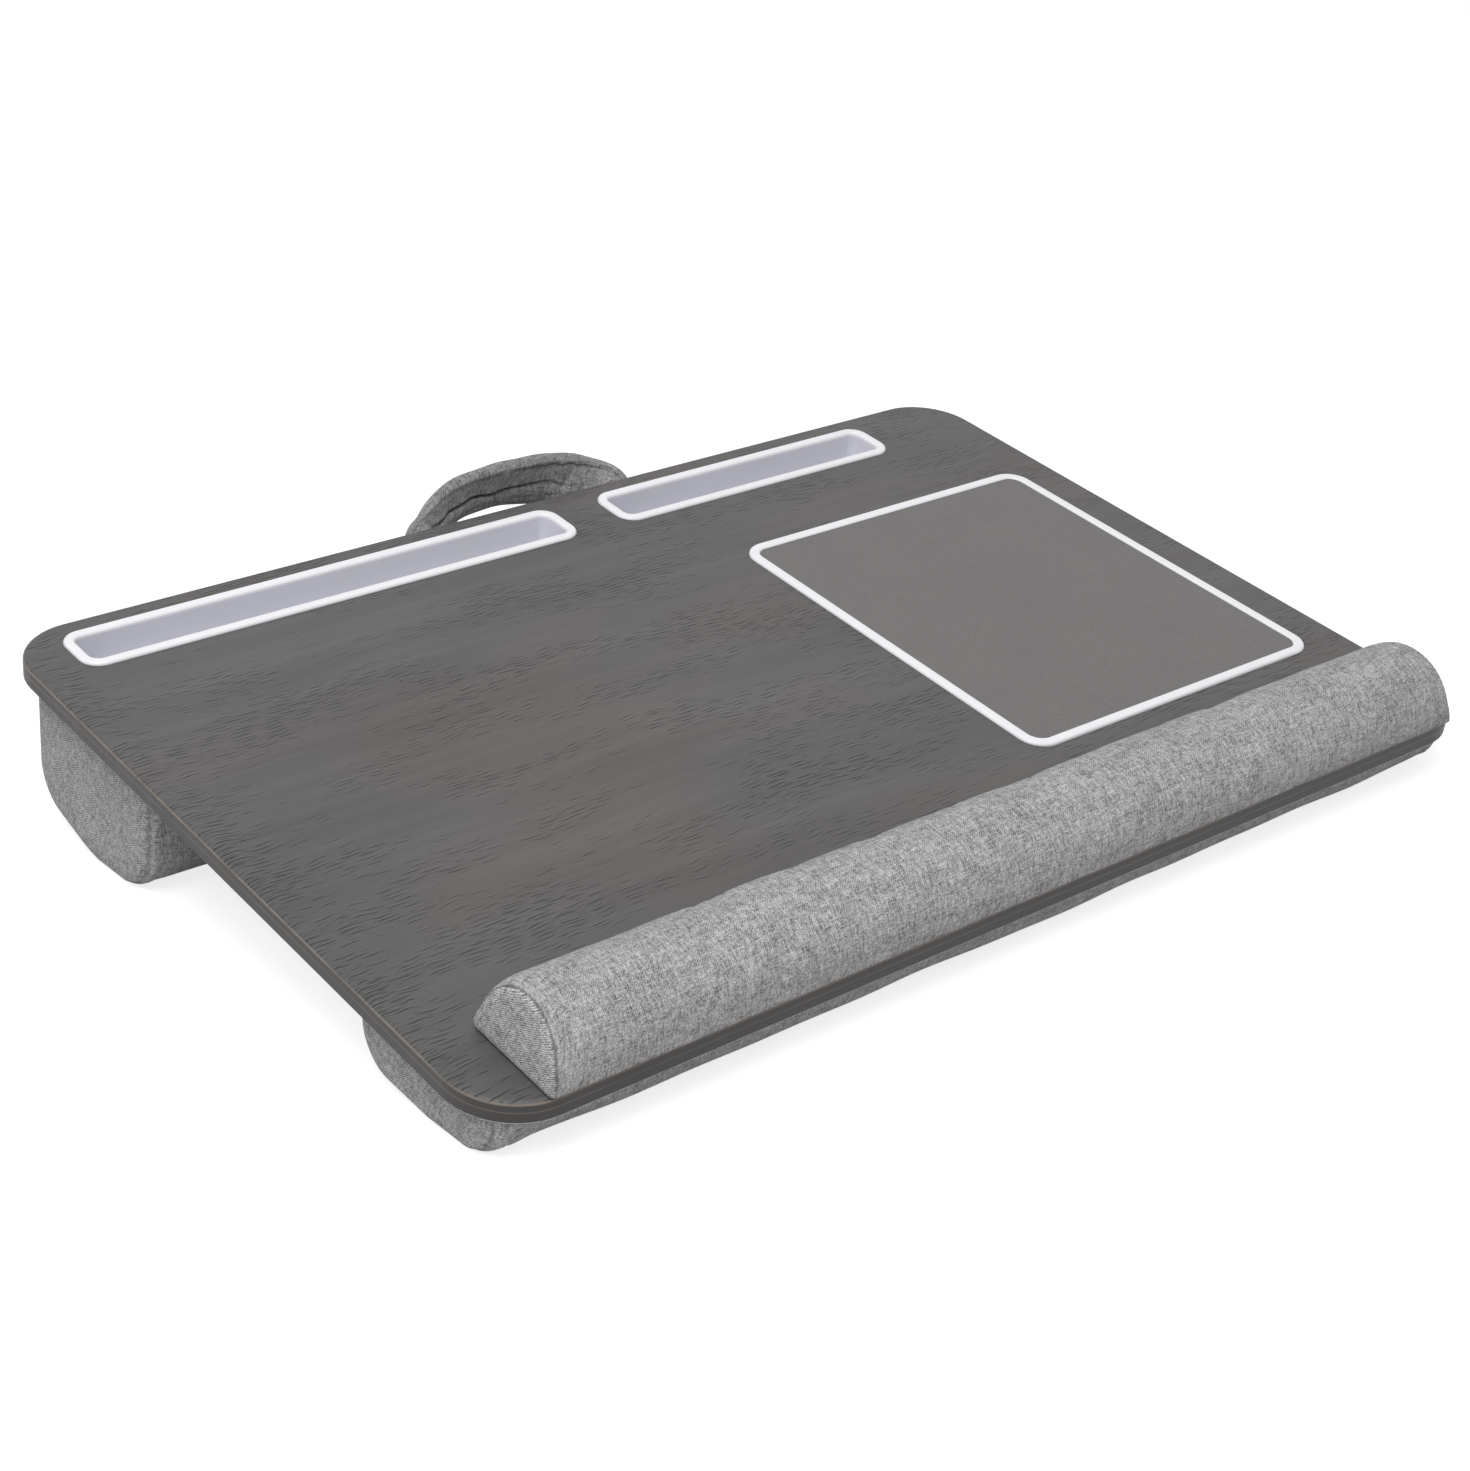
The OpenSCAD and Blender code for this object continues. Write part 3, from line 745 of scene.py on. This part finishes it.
def bolster_outline(spec, radii, x, seed):
    """Open outline from the top of the front face, under the cushion, to the top of its rear."""
    share = min(1.0, abs(x) / (BOLSTER_HALF - END_LEN))
    draw = END_IN * end_rounding(x, BOLSTER_HALF) - CROWN * (1 - share ** 2) ** 0.7
    end = hump(abs(x), BOLSTER_HALF, 14)
    front = spec[0] + draw
    back = spec[0] + spec[1] - draw
    bend = spec[0] + spec[2]
    top = SKIN_BOTTOM + 10
    corners = [(back, top), (front, top), (front, floor_z(front) - 0.5),
               (bend, floor_z(bend) - 0.5), (back, floor_z(back) + spec[3])]
    whole = spaced(rounded(corners, radii), 500, closed=True)[0]
    line, way = spaced(below_board(whole), BOLSTER_POINTS)
    pinch = np.clip((BOLSTER_TOP - line[:, 1]) / 9, 0, 1) ** 0.5
    swell = ripple(x, way, seed) * 0.8 * pinch * (1 - end)
    line = line + outward(line) * swell[:, None]
    line[:, 1] = np.minimum(line[:, 1], BOLSTER_TOP)
    line[:, 1] = np.maximum(line[:, 1], floor_z(line[:, 0]) + CLOTH_CLEAR)
    return line, way


def seam_shade(gap, width, depth):
    """Painted shade in a seam's groove: how dark the cloth is at a distance from the seam."""
    return -depth * hump(gap, 0, width)


def thread_row(x, ways, painted_light):
    """Thread places of a ring: along the piece, round it, and the painted light there, above 0 a
    highlight, below 0 shade.
    """
    return np.column_stack([np.full(len(ways), x), ways, np.full(len(ways), painted_light)])


def bolster_sleeve(name, spec, radii, turn_in, seed, material):
    """The long cover between the two seams, turned in under the board."""
    rings, threads = [], []
    for x in stations(BOLSTER_HALF, BOLSTER_RINGS):
        line, way = bolster_outline(spec, radii, x, seed)
        front, back = line[0], line[-1]
        low = BOLSTER_TOP - turn_in
        hem = np.array([(back[0] - 1, BOLSTER_TOP), (back[0] - 1.2, low),
                        (front[0] + 1.2, low), (front[0] + 1, BOLSTER_TOP)])
        ring = np.vstack([line, hem])
        rings.append(np.column_stack([np.full(len(ring), x), ring]))
        ways = np.concatenate([way, way[-1] + HEM_WAYS])
        # Painted shade along the seams at both ends
        threads.append(thread_row(x, ways, seam_shade(BOLSTER_HALF - abs(x), 0.5, 0.35)))
    return sleeve(name, rings, threads, material)


def sleeve(name, rings, threads, material, flip=False):
    """A closed tube through rings, with a lid at either end."""
    rings, threads = np.array(rings), np.array(threads)
    sewing = Sewing()
    sewing.grid(rings, threads, flip)
    sewing.lid(rings[0], threads[0], flip)
    sewing.lid(rings[-1], threads[-1], not flip)
    return sewing.finish(name, material)


def panel(name, edge, side, centre, folds, crown, material, flip):
    """An end panel: sunk a little at its seam, then rounded and crowned, with folds of its own.

    folds gives how far a ring of points is raised, from the points and from how far in they lie.
    """
    rings = [centre_on(edge - (side * PANEL_HEM, 0, 0), centre, 0.99)]
    threads = []
    for share in PANEL_RINGS:
        ring = centre_on(edge, centre, share)
        inset = np.linalg.norm(edge - centre, axis=1).mean() * (1 - share)
        rise = crown * math.sqrt(1 - share ** 9) - 0.4 * hump(inset, 0, 0.4)
        ring[:, 0] += side * (rise + folds(ring, 1 - share))
        rings.append(ring)
    for number, ring in enumerate(rings):
        gap = np.linalg.norm(edge - ring, axis=1).mean() if number else 0
        closed = np.vstack([ring, ring[:1]])
        y, z = closed[:, 1], closed[:, 2]
        # Painted shade along the seam
        painted_light = np.full(len(closed), seam_shade(gap, 0.45, 0.5))
        threads.append(np.column_stack([y + PANEL_BIAS * z, z - PANEL_BIAS * y, painted_light]))
    return sleeve(name, rings, threads, material, flip)


def centre_on(ring, centre, share):
    """A ring drawn together about a centre."""
    return centre * (1 - share) + ring * share


def bolster_held(points):
    """Where a bolster's cover is held: at its two seams and where it meets the board."""
    end = fading(BOLSTER_HALF - np.abs(points[:, 0]), 0.8, 4)
    board = fading(BOLSTER_TOP - points[:, 2], 1, 8)
    return np.maximum(end, board)


def bolster_panel(name, spec, radii, side, seed, material):
    """The end panel of a bolster."""
    line = bolster_outline(spec, radii, side * BOLSTER_HALF, seed)[0]
    edge = np.column_stack([np.full(len(line), side * BOLSTER_HALF), line])
    centre = edge.mean(axis=0)
    centre[2] = (BOLSTER_TOP + edge[:, 2].min()) / 2

    def folds(ring, inwards):
        return 0.35 * ripple(ring[:, 1] * 1.4, ring[:, 2] * 1.4, seed + side) * min(1, 3 * inwards)

    return panel(name, edge, side, centre, folds, 3.2, material, side < 0)


# Wrist rest

WRIST_Y = WRIST_D / 2 - WRIST_OVER
WRIST_HALF = WRIST_W / 2 - END_CROWN
WRIST_SEED = 2.0
# Thread length across the flat foot
WRIST_FOOT = 44


def wrist_curve(draw):
    """Raw D-shaped curve from the rear of the flat bottom, over the top, to its front."""
    a = WRIST_D / 2 - draw
    z = TAPE_T + TUCK_R
    b = WRIST_H - WRIST_SINK - draw - z
    tuck = np.radians(np.linspace(-90, 0, 8))
    dome = np.radians(np.linspace(0, 180, 60))
    rear = np.column_stack([WRIST_Y + a - TUCK_R + TUCK_R * np.cos(tuck),
                            z + TUCK_R * np.sin(tuck)])
    over = np.column_stack([WRIST_Y + a * np.cos(dome), z + b * np.sin(dome)])
    front = np.column_stack([2 * WRIST_Y - rear[::-1, 0], rear[::-1, 1]])
    return np.vstack([rear[:-1], over, front[1:]])


def wrist_outline(x):
    """Section of the wrist rest, drawn in towards its ends except at its foot."""
    full = wrist_curve(0)
    drawn = wrist_curve(END_IN * 0.42 * end_rounding(x, WRIST_HALF))
    high = np.clip(full[:, 1:] / 12, 0, 1)
    line, way = spaced(full + (drawn - full) * high, WRIST_POINTS)
    middle = 1 - hump(abs(x), WRIST_HALF, 16)
    low = np.clip((line[:, 1] - TAPE_T) / 6, 0, 1)
    swell = (ripple(x, way, WRIST_SEED) * 0.5 + 0.12 * np.sin(x / 6.5 + way / 9)) * middle
    gather = 0.16 * np.sin(way * 1.9 + 0.8) * hump(abs(x), WRIST_HALF, 5)
    line = line + outward(line) * ((swell + gather) * low)[:, None]
    line[:, 1] = np.maximum(line[:, 1], TAPE_T)
    return line, way


def wrist_ring(x, line):
    """Points of a section, with the ends leaning inwards as they rise."""
    lean = math.copysign(WRIST_LEAN, x) * np.clip(1 - (WRIST_HALF - abs(x)) / (END_LEN * 3), 0, 1)
    return np.column_stack([WRIST_X + x - lean * line[:, 1] / WRIST_H, line])


def wrist_sleeve(name, material):
    """The long sleeve of the wrist rest between its end seams."""
    rings, threads = [], []
    for x in stations(WRIST_HALF, WRIST_RINGS):
        line, way = wrist_outline(x)
        rings.append(wrist_ring(x, line))
        ways = np.append(way, way[-1] + WRIST_FOOT)
        # Painted shade along the seams at both ends
        threads.append(thread_row(x, ways, seam_shade(WRIST_HALF - abs(x), 0.4, 0.5)))
    return sleeve(name, rings, threads, material, flip=True)


def wrist_held(points):
    """Where the wrist rest's cover is held: at its two seams and along its foot."""
    end = fading(WRIST_HALF - np.abs(points[:, 0] - WRIST_X), 0.8 + WRIST_LEAN, 4)
    foot = fading(points[:, 2] - TAPE_T, 0.4, 4)
    return np.maximum(end, foot)


def wrist_panel(name, side, material):
    """A D-shaped end panel, gathered towards its lower front corner."""
    x = side * WRIST_HALF
    edge = wrist_ring(x, wrist_outline(x)[0])
    corner = np.array([WRIST_Y - WRIST_D / 2 + 4, TAPE_T + 3])

    def folds(ring, inwards):
        away = ring[:, 1:] - corner
        reach = np.linalg.norm(away, axis=1)
        turn = np.arctan2(away[:, 1], away[:, 0])
        return 0.22 * np.sin(turn * 14) * hump(reach, 6, 6) * min(1, 6 * inwards)

    return panel(name, edge, side, edge.mean(axis=0), folds, 2.0, material, side > 0)


# Carrying strap

# Cross creases of the strap's inner face: place along it in degrees, slant, depth in mm, width
CREASES = ((22, 0.6, 0.8, 3.0), (34, 0.5, 0.7, 3.0), (50, -0.4, 0.5, 3), (66, 0.3, 0.5, 4),
           (86, 0.2, 0.8, 2.2), (92, -0.2, 0.7, 2.0), (108, -0.3, 0.5, 3), (122, 0.4, 0.8, 3),
           (134, -0.5, 0.9, 2.6), (146, 0.3, 0.9, 2.6), (156, -0.2, 0.7, 2.5))
STRAP_RIM = STRAP_W / 2 - 3.6
# Sections of its tongues: distance from the board's rear edge, share of the width, half the
# thickness in mm
TONGUE = ((-3, 0.95, 0.9), (1.2, 0.96, 0.9), (2.2, 0.975, 1.6), (2.9, 0.985, 2.5),
          (3.5, 0.995, 3.3), (4, 1, 3.8))


def strap_point(u):
    """Middle line of the strap at a place along it, an angle from 0 to 180 degrees."""
    c, s = math.cos(u), math.sin(u)
    return np.array([STRAP_X - STRAP_SPAN / 2 * math.copysign(abs(c) ** (2 / STRAP_BEND), c),
                     FOLD_Y + STRAP_REACH * abs(s) ** (2 / STRAP_BEND),
                     FOLD_Z + STRAP_RISE * abs(s) ** RISE_POWER])


def strap_section(count=40):
    """Section of the padded strap: place across it, height, and which face it is on."""
    flat = (STRAP_W - STRAP_T) / 2
    r = STRAP_T / 2
    right = [(flat + r * math.cos(a), r * math.sin(a), 0)
             for a in np.radians(np.linspace(-80, 80, 13))]
    top = [(x, r, 1) for x in np.linspace(flat, -flat, count)]
    left = [(-x, -z, 0) for x, z, face in right]
    low = [(x, -r, -1) for x in np.linspace(-flat, flat, count)]
    return np.array(right + top + left + low)


def fold_place(degrees):
    """Where the long fold of the inner face runs across the strap, and how strong it is."""
    place = -3.6 + 0.9 * math.sin(degrees / 8) + 0.5 * math.sin(degrees / 3.7 + 1)
    strength = hump(degrees, 70, 48) ** 0.5 if degrees < 70 else hump(degrees, 70, 60)
    return place, strength


def padded(section, degrees):
    """The section with a hollowed middle, a stitched groove inside each rim, and creases."""
    x, z, face = section[:, 0].copy(), section[:, 1].copy(), section[:, 2]
    hollow = 0.9 * np.clip(1 - (x / STRAP_RIM) ** 2, 0, 1)
    hollow = hollow + 0.6 * hump(np.abs(x), STRAP_RIM, 0.8)
    crease = sum(depth * hump(degrees + slant * x * 1.3, u, width)
                 for u, slant, depth, width in CREASES)
    inner = np.clip(1 - (np.abs(x) / (STRAP_RIM + 1.5)) ** 4, 0, 1)
    place, strength = fold_place(degrees)
    fold = 1.5 * strength * hump(x, place, 1.0) * (face > 0)
    z = z - face * (hollow + fold) - face * crease * inner * np.where(face > 0, 1, 0.35)
    z = z * (1 - 0.3 * np.clip(np.abs(x) / STRAP_W * 2, 0, 1) ** 4)
    z = z + 0.25 * np.sin(degrees / 4.3 + x / 3) * (face == 0)
    lip = 4.8 * hump(degrees, 110, 40)
    slim = 6 * hump(degrees, 26, 20) + 1.6 * hump(degrees, 150, 16)
    x = x - lip * np.clip((-x - 6) / 6.5, 0, 1) - slim * np.clip((x + 4) / 16, 0, 1)
    return np.column_stack([x, z])


def strap_painted_light(section, degrees):
    """Painted light of the strap: highlight on the rim, shade in its grooves, fold and edges."""
    x, face = section[:, 0], section[:, 2]
    place, strength = fold_place(degrees)
    ruffle = hump(degrees, 132, 24)
    shift = STRAP_RIM + 0.9 + 0.5 * math.sin(degrees / 1.9) * ruffle
    light = (0.25 + 0.9 * ruffle) * hump(x, shift, 0.6 + 0.6 * ruffle)
    dark = (0.35 + 0.6 * ruffle) * hump(x, shift - 1.8, 0.8) + 0.95 * strength * hump(x, place, 0.9)
    back = 0.3 * hump(np.abs(x), STRAP_RIM, 0.6)
    # Top face: painted highlight and shade; back: painted shade in the rim's groove; rounded edges:
    # painted shade
    return np.where(face > 0, light - dark, np.where(face < 0, -back, -0.12))


def tongue_rings(section, side):
    """Rings of one of the flat tongues, from under the board to the strap."""
    flat = padded(section, 90 - side * 90)
    return [np.column_stack([STRAP_X + side * (STRAP_SPAN / 2 + flat[:, 0] * wide),
                             np.full(len(flat), BOARD_D + away),
                             FOLD_Z + flat[:, 1] * half / (STRAP_T / 2)])
            for away, wide, half in TONGUE]


def strap_ring(section, degrees):
    """The strap's section set across its middle line, and twisted upright at the middle."""
    u = math.radians(degrees)
    out = np.array([-math.cos(u), math.sin(u), 0])
    up = np.array([0, 0, 1])
    twist = math.radians(STRAP_TWIST) * math.sin(u) ** TWIST_POWER
    wide = out * math.cos(twist) + up * math.sin(twist)
    thick = up * math.cos(twist) - out * math.sin(twist)
    flat = padded(section, degrees)
    return strap_point(u) + np.outer(flat[:, 0], wide) + np.outer(flat[:, 1], thick)


def strap_piece(name, material):
    """The twisted strap and the two tongues by which it goes under the board."""
    section = strap_section()
    degrees = np.linspace(2, 178, 177)
    rings = [*tongue_rings(section, -1), *(strap_ring(section, at) for at in degrees),
             *reversed(tongue_rings(section, 1))]
    plain = [np.zeros(len(section))] * len(TONGUE)
    # Painted light along the strap; none on the tongues
    painted_lights = [*plain, *(strap_painted_light(section, at) for at in degrees), *plain]
    around = travelled(np.vstack([section[:, :2], section[:1, :2]]))
    lengths = travelled(np.mean(rings, axis=1))
    threads = [thread_row(length, around, np.append(painted_light, painted_light[0]))
               for length, painted_light in zip(lengths, painted_lights)]
    return sleeve(name, rings, threads, material, flip=True)


# Settings, operators and panel


def colour_setting(name, description, default):
    return FloatVectorProperty(name=name, description=description, default=default,
                               subtype="COLOR")


def number_setting(name, description, default, low, high):
    return FloatProperty(name=name, description=description, default=default, min=low, max=high)


class BoardSettings(bpy.types.PropertyGroup):
    """Finishes of the board and of the pieces set into it."""

    film: colour_setting("Film", "Colour of the wood-grain film", (0.102, 0.095, 0.092))
    grain: number_setting("Grain", "Contrast of the film's grain", 1.0, 0.0, 2.0)
    plastic: colour_setting("Plastic", "Colour of rims and trays", (0.93, 0.93, 0.96))
    pad: colour_setting("Pad", "Colour of the tracking surface", (0.155, 0.148, 0.145))


class ClothSettings(bpy.types.PropertyGroup):
    """The melange cloth of cushions and strap."""

    light: colour_setting("Light thread", "Colour of the light threads", (0.80, 0.785, 0.785))
    dark: colour_setting("Dark thread", "Colour of the dark threads", (0.12, 0.115, 0.115))
    pitch: number_setting("Thread pitch", "Spacing of the threads, in mm", 0.3, 0.2, 3.0)
    filling: number_setting("Filling", "Pressure of a cushion on its cover", 60.0, 0.0, 200.0)


class StageSettings(bpy.types.PropertyGroup):
    """Lamp, even light and floor."""

    lamp: number_setting("Lamp", "Power of the large lamp, in watts", 38.0, 0.0, 500.0)
    fill: number_setting("Fill", "Even light from all round", 0.43, 0.0, 1.0)
    floor: number_setting("Floor", "Share of the light that the floor returns", 0.58, 0.1, 1.0)


class LAPDESK_OT_board(bpy.types.Operator):
    """Finish the board, its film, the skin under it and the staples"""

    bl_idname = "lapdesk.board"
    bl_label = "Board"

    def execute(self, context):
        settings = context.scene.lapdesk_board
        cloth = context.scene.lapdesk_cloth
        dress(film_finish(tuple(settings.film), settings.grain), "woodgrain_film")
        dress(fibreboard_finish(), "board_core")
        skin = cloth_finish("base_cloth", shade(cloth.light, 1.2), shade(cloth.light, 0.85),
                            cloth.pitch, drawn=False)
        dress(skin, "base_fabric")
        dress(steel_finish(), "bolster_staples", "handle_staples")
        return {"FINISHED"}


class LAPDESK_OT_inlays(bpy.types.Operator):
    """Finish the slot trays and the mouse pad"""

    bl_idname = "lapdesk.inlays"
    bl_label = "Slot trays and mouse pad"

    def execute(self, context):
        settings = context.scene.lapdesk_board
        white = plastic_finish(tuple(settings.plastic))
        dress(white, "tablet_slot_liner", "phone_slot_liner", "mouse_pad_frame")
        dress(pad_finish(tuple(settings.pad)), "mouse_pad_surface")
        dress(foam_finish(), "mouse_pad_backing")
        return {"FINISHED"}


def cloth_pair(context, name):
    """The cloth of a cushion's band and that of its end panels."""
    cloth = context.scene.lapdesk_cloth
    light, dark = tuple(cloth.light), tuple(cloth.dark)
    return (cloth_finish(name, light, dark, cloth.pitch),
            cloth_finish(name + "_end", light, dark, cloth.pitch, hatch=1.5))


class LAPDESK_OT_bolsters(bpy.types.Operator):
    """Sew the two bolsters under the board"""

    bl_idname = "lapdesk.bolsters"
    bl_label = "Bolsters"

    def execute(self, context):
        band, end = cloth_pair(context, "bolster_cloth")
        for place, spec, radii, turn_in, seed in BOLSTERS:
            node = place + "_bolster_"
            cover = bolster_sleeve(node + "sleeve", spec, radii, turn_in, seed, band)
            fill_out(cover, bolster_held, context.scene.lapdesk_cloth.filling)
            settle(cover, BOLSTER_FILL, node + "cover", node + "foam")
            for side, word in SIDES:
                piece = bolster_panel(f"{node}panel_{word}", spec, radii, side, seed, end)
                settle(piece, BOLSTER_FILL, f"{node}end_{word}")
        return {"FINISHED"}


class LAPDESK_OT_wrist_rest(bpy.types.Operator):
    """Sew the wrist rest on the board's front edge"""

    bl_idname = "lapdesk.wrist_rest"
    bl_label = "Wrist rest"

    def execute(self, context):
        band, end = cloth_pair(context, "wrist_cloth")
        cover = wrist_sleeve("wrist_rest_sleeve", band)
        fill_out(cover, wrist_held, context.scene.lapdesk_cloth.filling)
        settle(cover, WRIST_FILL, "wrist_rest_cover", "wrist_rest_foam")
        for side, word in SIDES:
            piece = wrist_panel("wrist_rest_panel_" + word, side, end)
            settle(piece, WRIST_FILL, "wrist_rest_end_" + word)
        dress(strip_finish(), "wrist_rest_backing")
        dress(tape_finish(), "wrist_rest_tape")
        return {"FINISHED"}


def settle(piece, fill, *nodes):
    """Makes a cushion piece of the desk stand for its CAD pieces."""
    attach(piece, "desk")
    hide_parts(*nodes)


class LAPDESK_OT_handle(bpy.types.Operator):
    """Sew the carrying strap behind the board"""

    bl_idname = "lapdesk.handle"
    bl_label = "Carrying strap"

    def execute(self, context):
        cloth = context.scene.lapdesk_cloth
        light, dark = shade(cloth.light, 0.9), shade(cloth.dark, 0.75)
        material = cloth_finish("strap_cloth", light, dark, cloth.pitch * 0.9)
        strap = strap_piece("carrying_strap", material)
        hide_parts("handle_cover", "handle_core")
        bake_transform(strap)
        webbing = cloth_finish("webbing", shade(dark, 1.3), shade(dark, 0.6), 1.1, drawn=False)
        dress(webbing, "handle_tab_left", "handle_tab_right")
        return {"FINISHED"}


def seen_directly(finish):
    """1 for the camera, reflections and what is seen through glass; 0 for light on the object."""
    path = finish.add("ShaderNodeLightPath", out="Is Camera Ray")
    outputs = path.socket.node.outputs
    glossy = Wire(finish, outputs["Is Glossy Ray"])
    through = Wire(finish, outputs["Is Transmission Ray"])
    return path.larger(glossy).larger(through)


def floor_finish(paleness):
    """Pale floor that looks white where it is lit and keeps the object's shadow."""
    finish = Finish("floor")
    plain = finish.add("ShaderNodeBsdfDiffuse", {}, {"Color": (paleness,) * 3 + (1,)})
    seen = finish.add("ShaderNodeBsdfDiffuse", {}, {"Color": FLOOR_SEEN})
    glow = finish.add("ShaderNodeEmission", {}, {"Color": WHITE, "Strength": FLOOR_GLOW})
    both = finish.add("ShaderNodeAddShader", {}, {0: seen, 1: glow})
    mixed = finish.add("ShaderNodeMixShader", {}, {0: seen_directly(finish), 1: plain, 2: both})
    below = finish.add("ShaderNodeNewGeometry", out="Backfacing")
    clear = finish.add("ShaderNodeBsdfTransparent")
    whole = finish.add("ShaderNodeMixShader", {}, {0: below, 1: mixed, 2: clear})
    output = finish.tree.nodes["Material Output"]
    finish.tree.links.new(whole.socket, output.inputs["Surface"])
    finish.tree.nodes.remove(finish.shader)
    return finish.material


class Sky(Finish):
    """The world's shader, built with the same node method."""

    def __init__(self, world):
        world.use_nodes = True
        self.tree = world.node_tree
        self.tree.nodes.clear()


class LAPDESK_OT_stage(bpy.types.Operator):
    """Set out the floor, the lamps and the camera"""

    bl_idname = "lapdesk.stage"
    bl_label = "Stage"

    def execute(self, context):
        settings = context.scene.lapdesk_stage
        self.make_floor(settings)
        self.make_world(context.scene, settings)
        self.make_lamp(settings)
        self.make_camera(context.scene)
        context.scene.view_settings.view_transform = "Standard"
        return {"FINISHED"}

    def make_floor(self, settings):
        mesh = bpy.data.meshes.new("floor")
        corners = [(x * FLOOR_HALF, y * FLOOR_HALF, -FLOOR_DROP)
                   for x, y in ((-1, -1), (1, -1), (1, 1), (-1, 1))]
        mesh.from_pydata(corners, [], [(0, 1, 2, 3)])
        mesh.materials.append(floor_finish(settings.floor))
        add_object("floor", mesh)

    def make_world(self, scene, settings):
        world = bpy.data.worlds.new("studio")
        scene.world = world
        sky = Sky(world)
        light = sky.add("ShaderNodeBackground", {}, {"Color": WHITE, "Strength": settings.fill})
        seen = sky.add("ShaderNodeBackground", {}, {"Color": WHITE, "Strength": 1.0})
        mixed = sky.add("ShaderNodeMixShader", {}, {0: seen_directly(sky), 1: light, 2: seen})
        output = sky.tree.nodes.new("ShaderNodeOutputWorld")
        sky.tree.links.new(mixed.socket, output.inputs["Surface"])

    def make_lamp(self, settings):
        lamp = bpy.data.lights.new("softbox", "AREA")
        lamp.shape = "SQUARE"
        lamp.size = LAMP_SIDE
        lamp.energy = settings.lamp
        holder = add_object("softbox", lamp)
        toward = Vector(LAMP_TOWARD).normalized()
        holder.location = toward * LAMP_AWAY
        holder.rotation_euler = toward.to_track_quat("Z", "Y").to_euler()

    def make_camera(self, scene):
        data = bpy.data.cameras.new("camera")
        data.sensor_width = SENSOR
        data.lens = FOCAL_PIXELS / PICTURE_SIDE * SENSOR
        data.clip_start = 0.05
        data.clip_end = 100
        camera = add_object("camera", data)
        right = Vector(turned(CAMERA_RIGHT)).normalized()
        ahead = Vector(turned(CAMERA_AHEAD)).normalized()
        up = right.cross(ahead)
        place = Matrix((right, up, -ahead)).transposed().to_4x4()
        place.translation = Vector(on_desk(CAMERA_EYE))
        camera.matrix_world = place
        scene.camera = camera


OPERATORS = (LAPDESK_OT_board, LAPDESK_OT_inlays, LAPDESK_OT_bolsters, LAPDESK_OT_wrist_rest,
             LAPDESK_OT_handle, LAPDESK_OT_stage)
SETTINGS = {"lapdesk_board": BoardSettings, "lapdesk_cloth": ClothSettings,
            "lapdesk_stage": StageSettings}


class LAPDESK_PT_panel(bpy.types.Panel):
    """Lists the settings and the steps"""

    bl_idname = "LAPDESK_PT_panel"
    bl_label = "Lap desk"
    bl_space_type = "VIEW_3D"
    bl_region_type = "UI"
    bl_category = "Lap desk"

    def draw(self, context):
        for name, group in SETTINGS.items():
            for key in group.__annotations__:
                self.layout.prop(getattr(context.scene, name), key)
        for operator in OPERATORS:
            self.layout.operator(operator.bl_idname)


CLASSES = (*SETTINGS.values(), *OPERATORS, LAPDESK_PT_panel)


def register():
    for item in CLASSES:
        bpy.utils.register_class(item)
    for name, group in SETTINGS.items():
        setattr(bpy.types.Scene, name, PointerProperty(type=group))


def unregister():
    for name in SETTINGS:
        delattr(bpy.types.Scene, name)
    for item in reversed(CLASSES):
        bpy.utils.unregister_class(item)


def main():
    register()
    bpy.ops.lapdesk.board()
    bpy.ops.lapdesk.inlays()
    bpy.ops.lapdesk.bolsters()
    bpy.ops.lapdesk.wrist_rest()
    bpy.ops.lapdesk.handle()
    bpy.ops.lapdesk.stage()


if __name__ == "__main__":
    main()
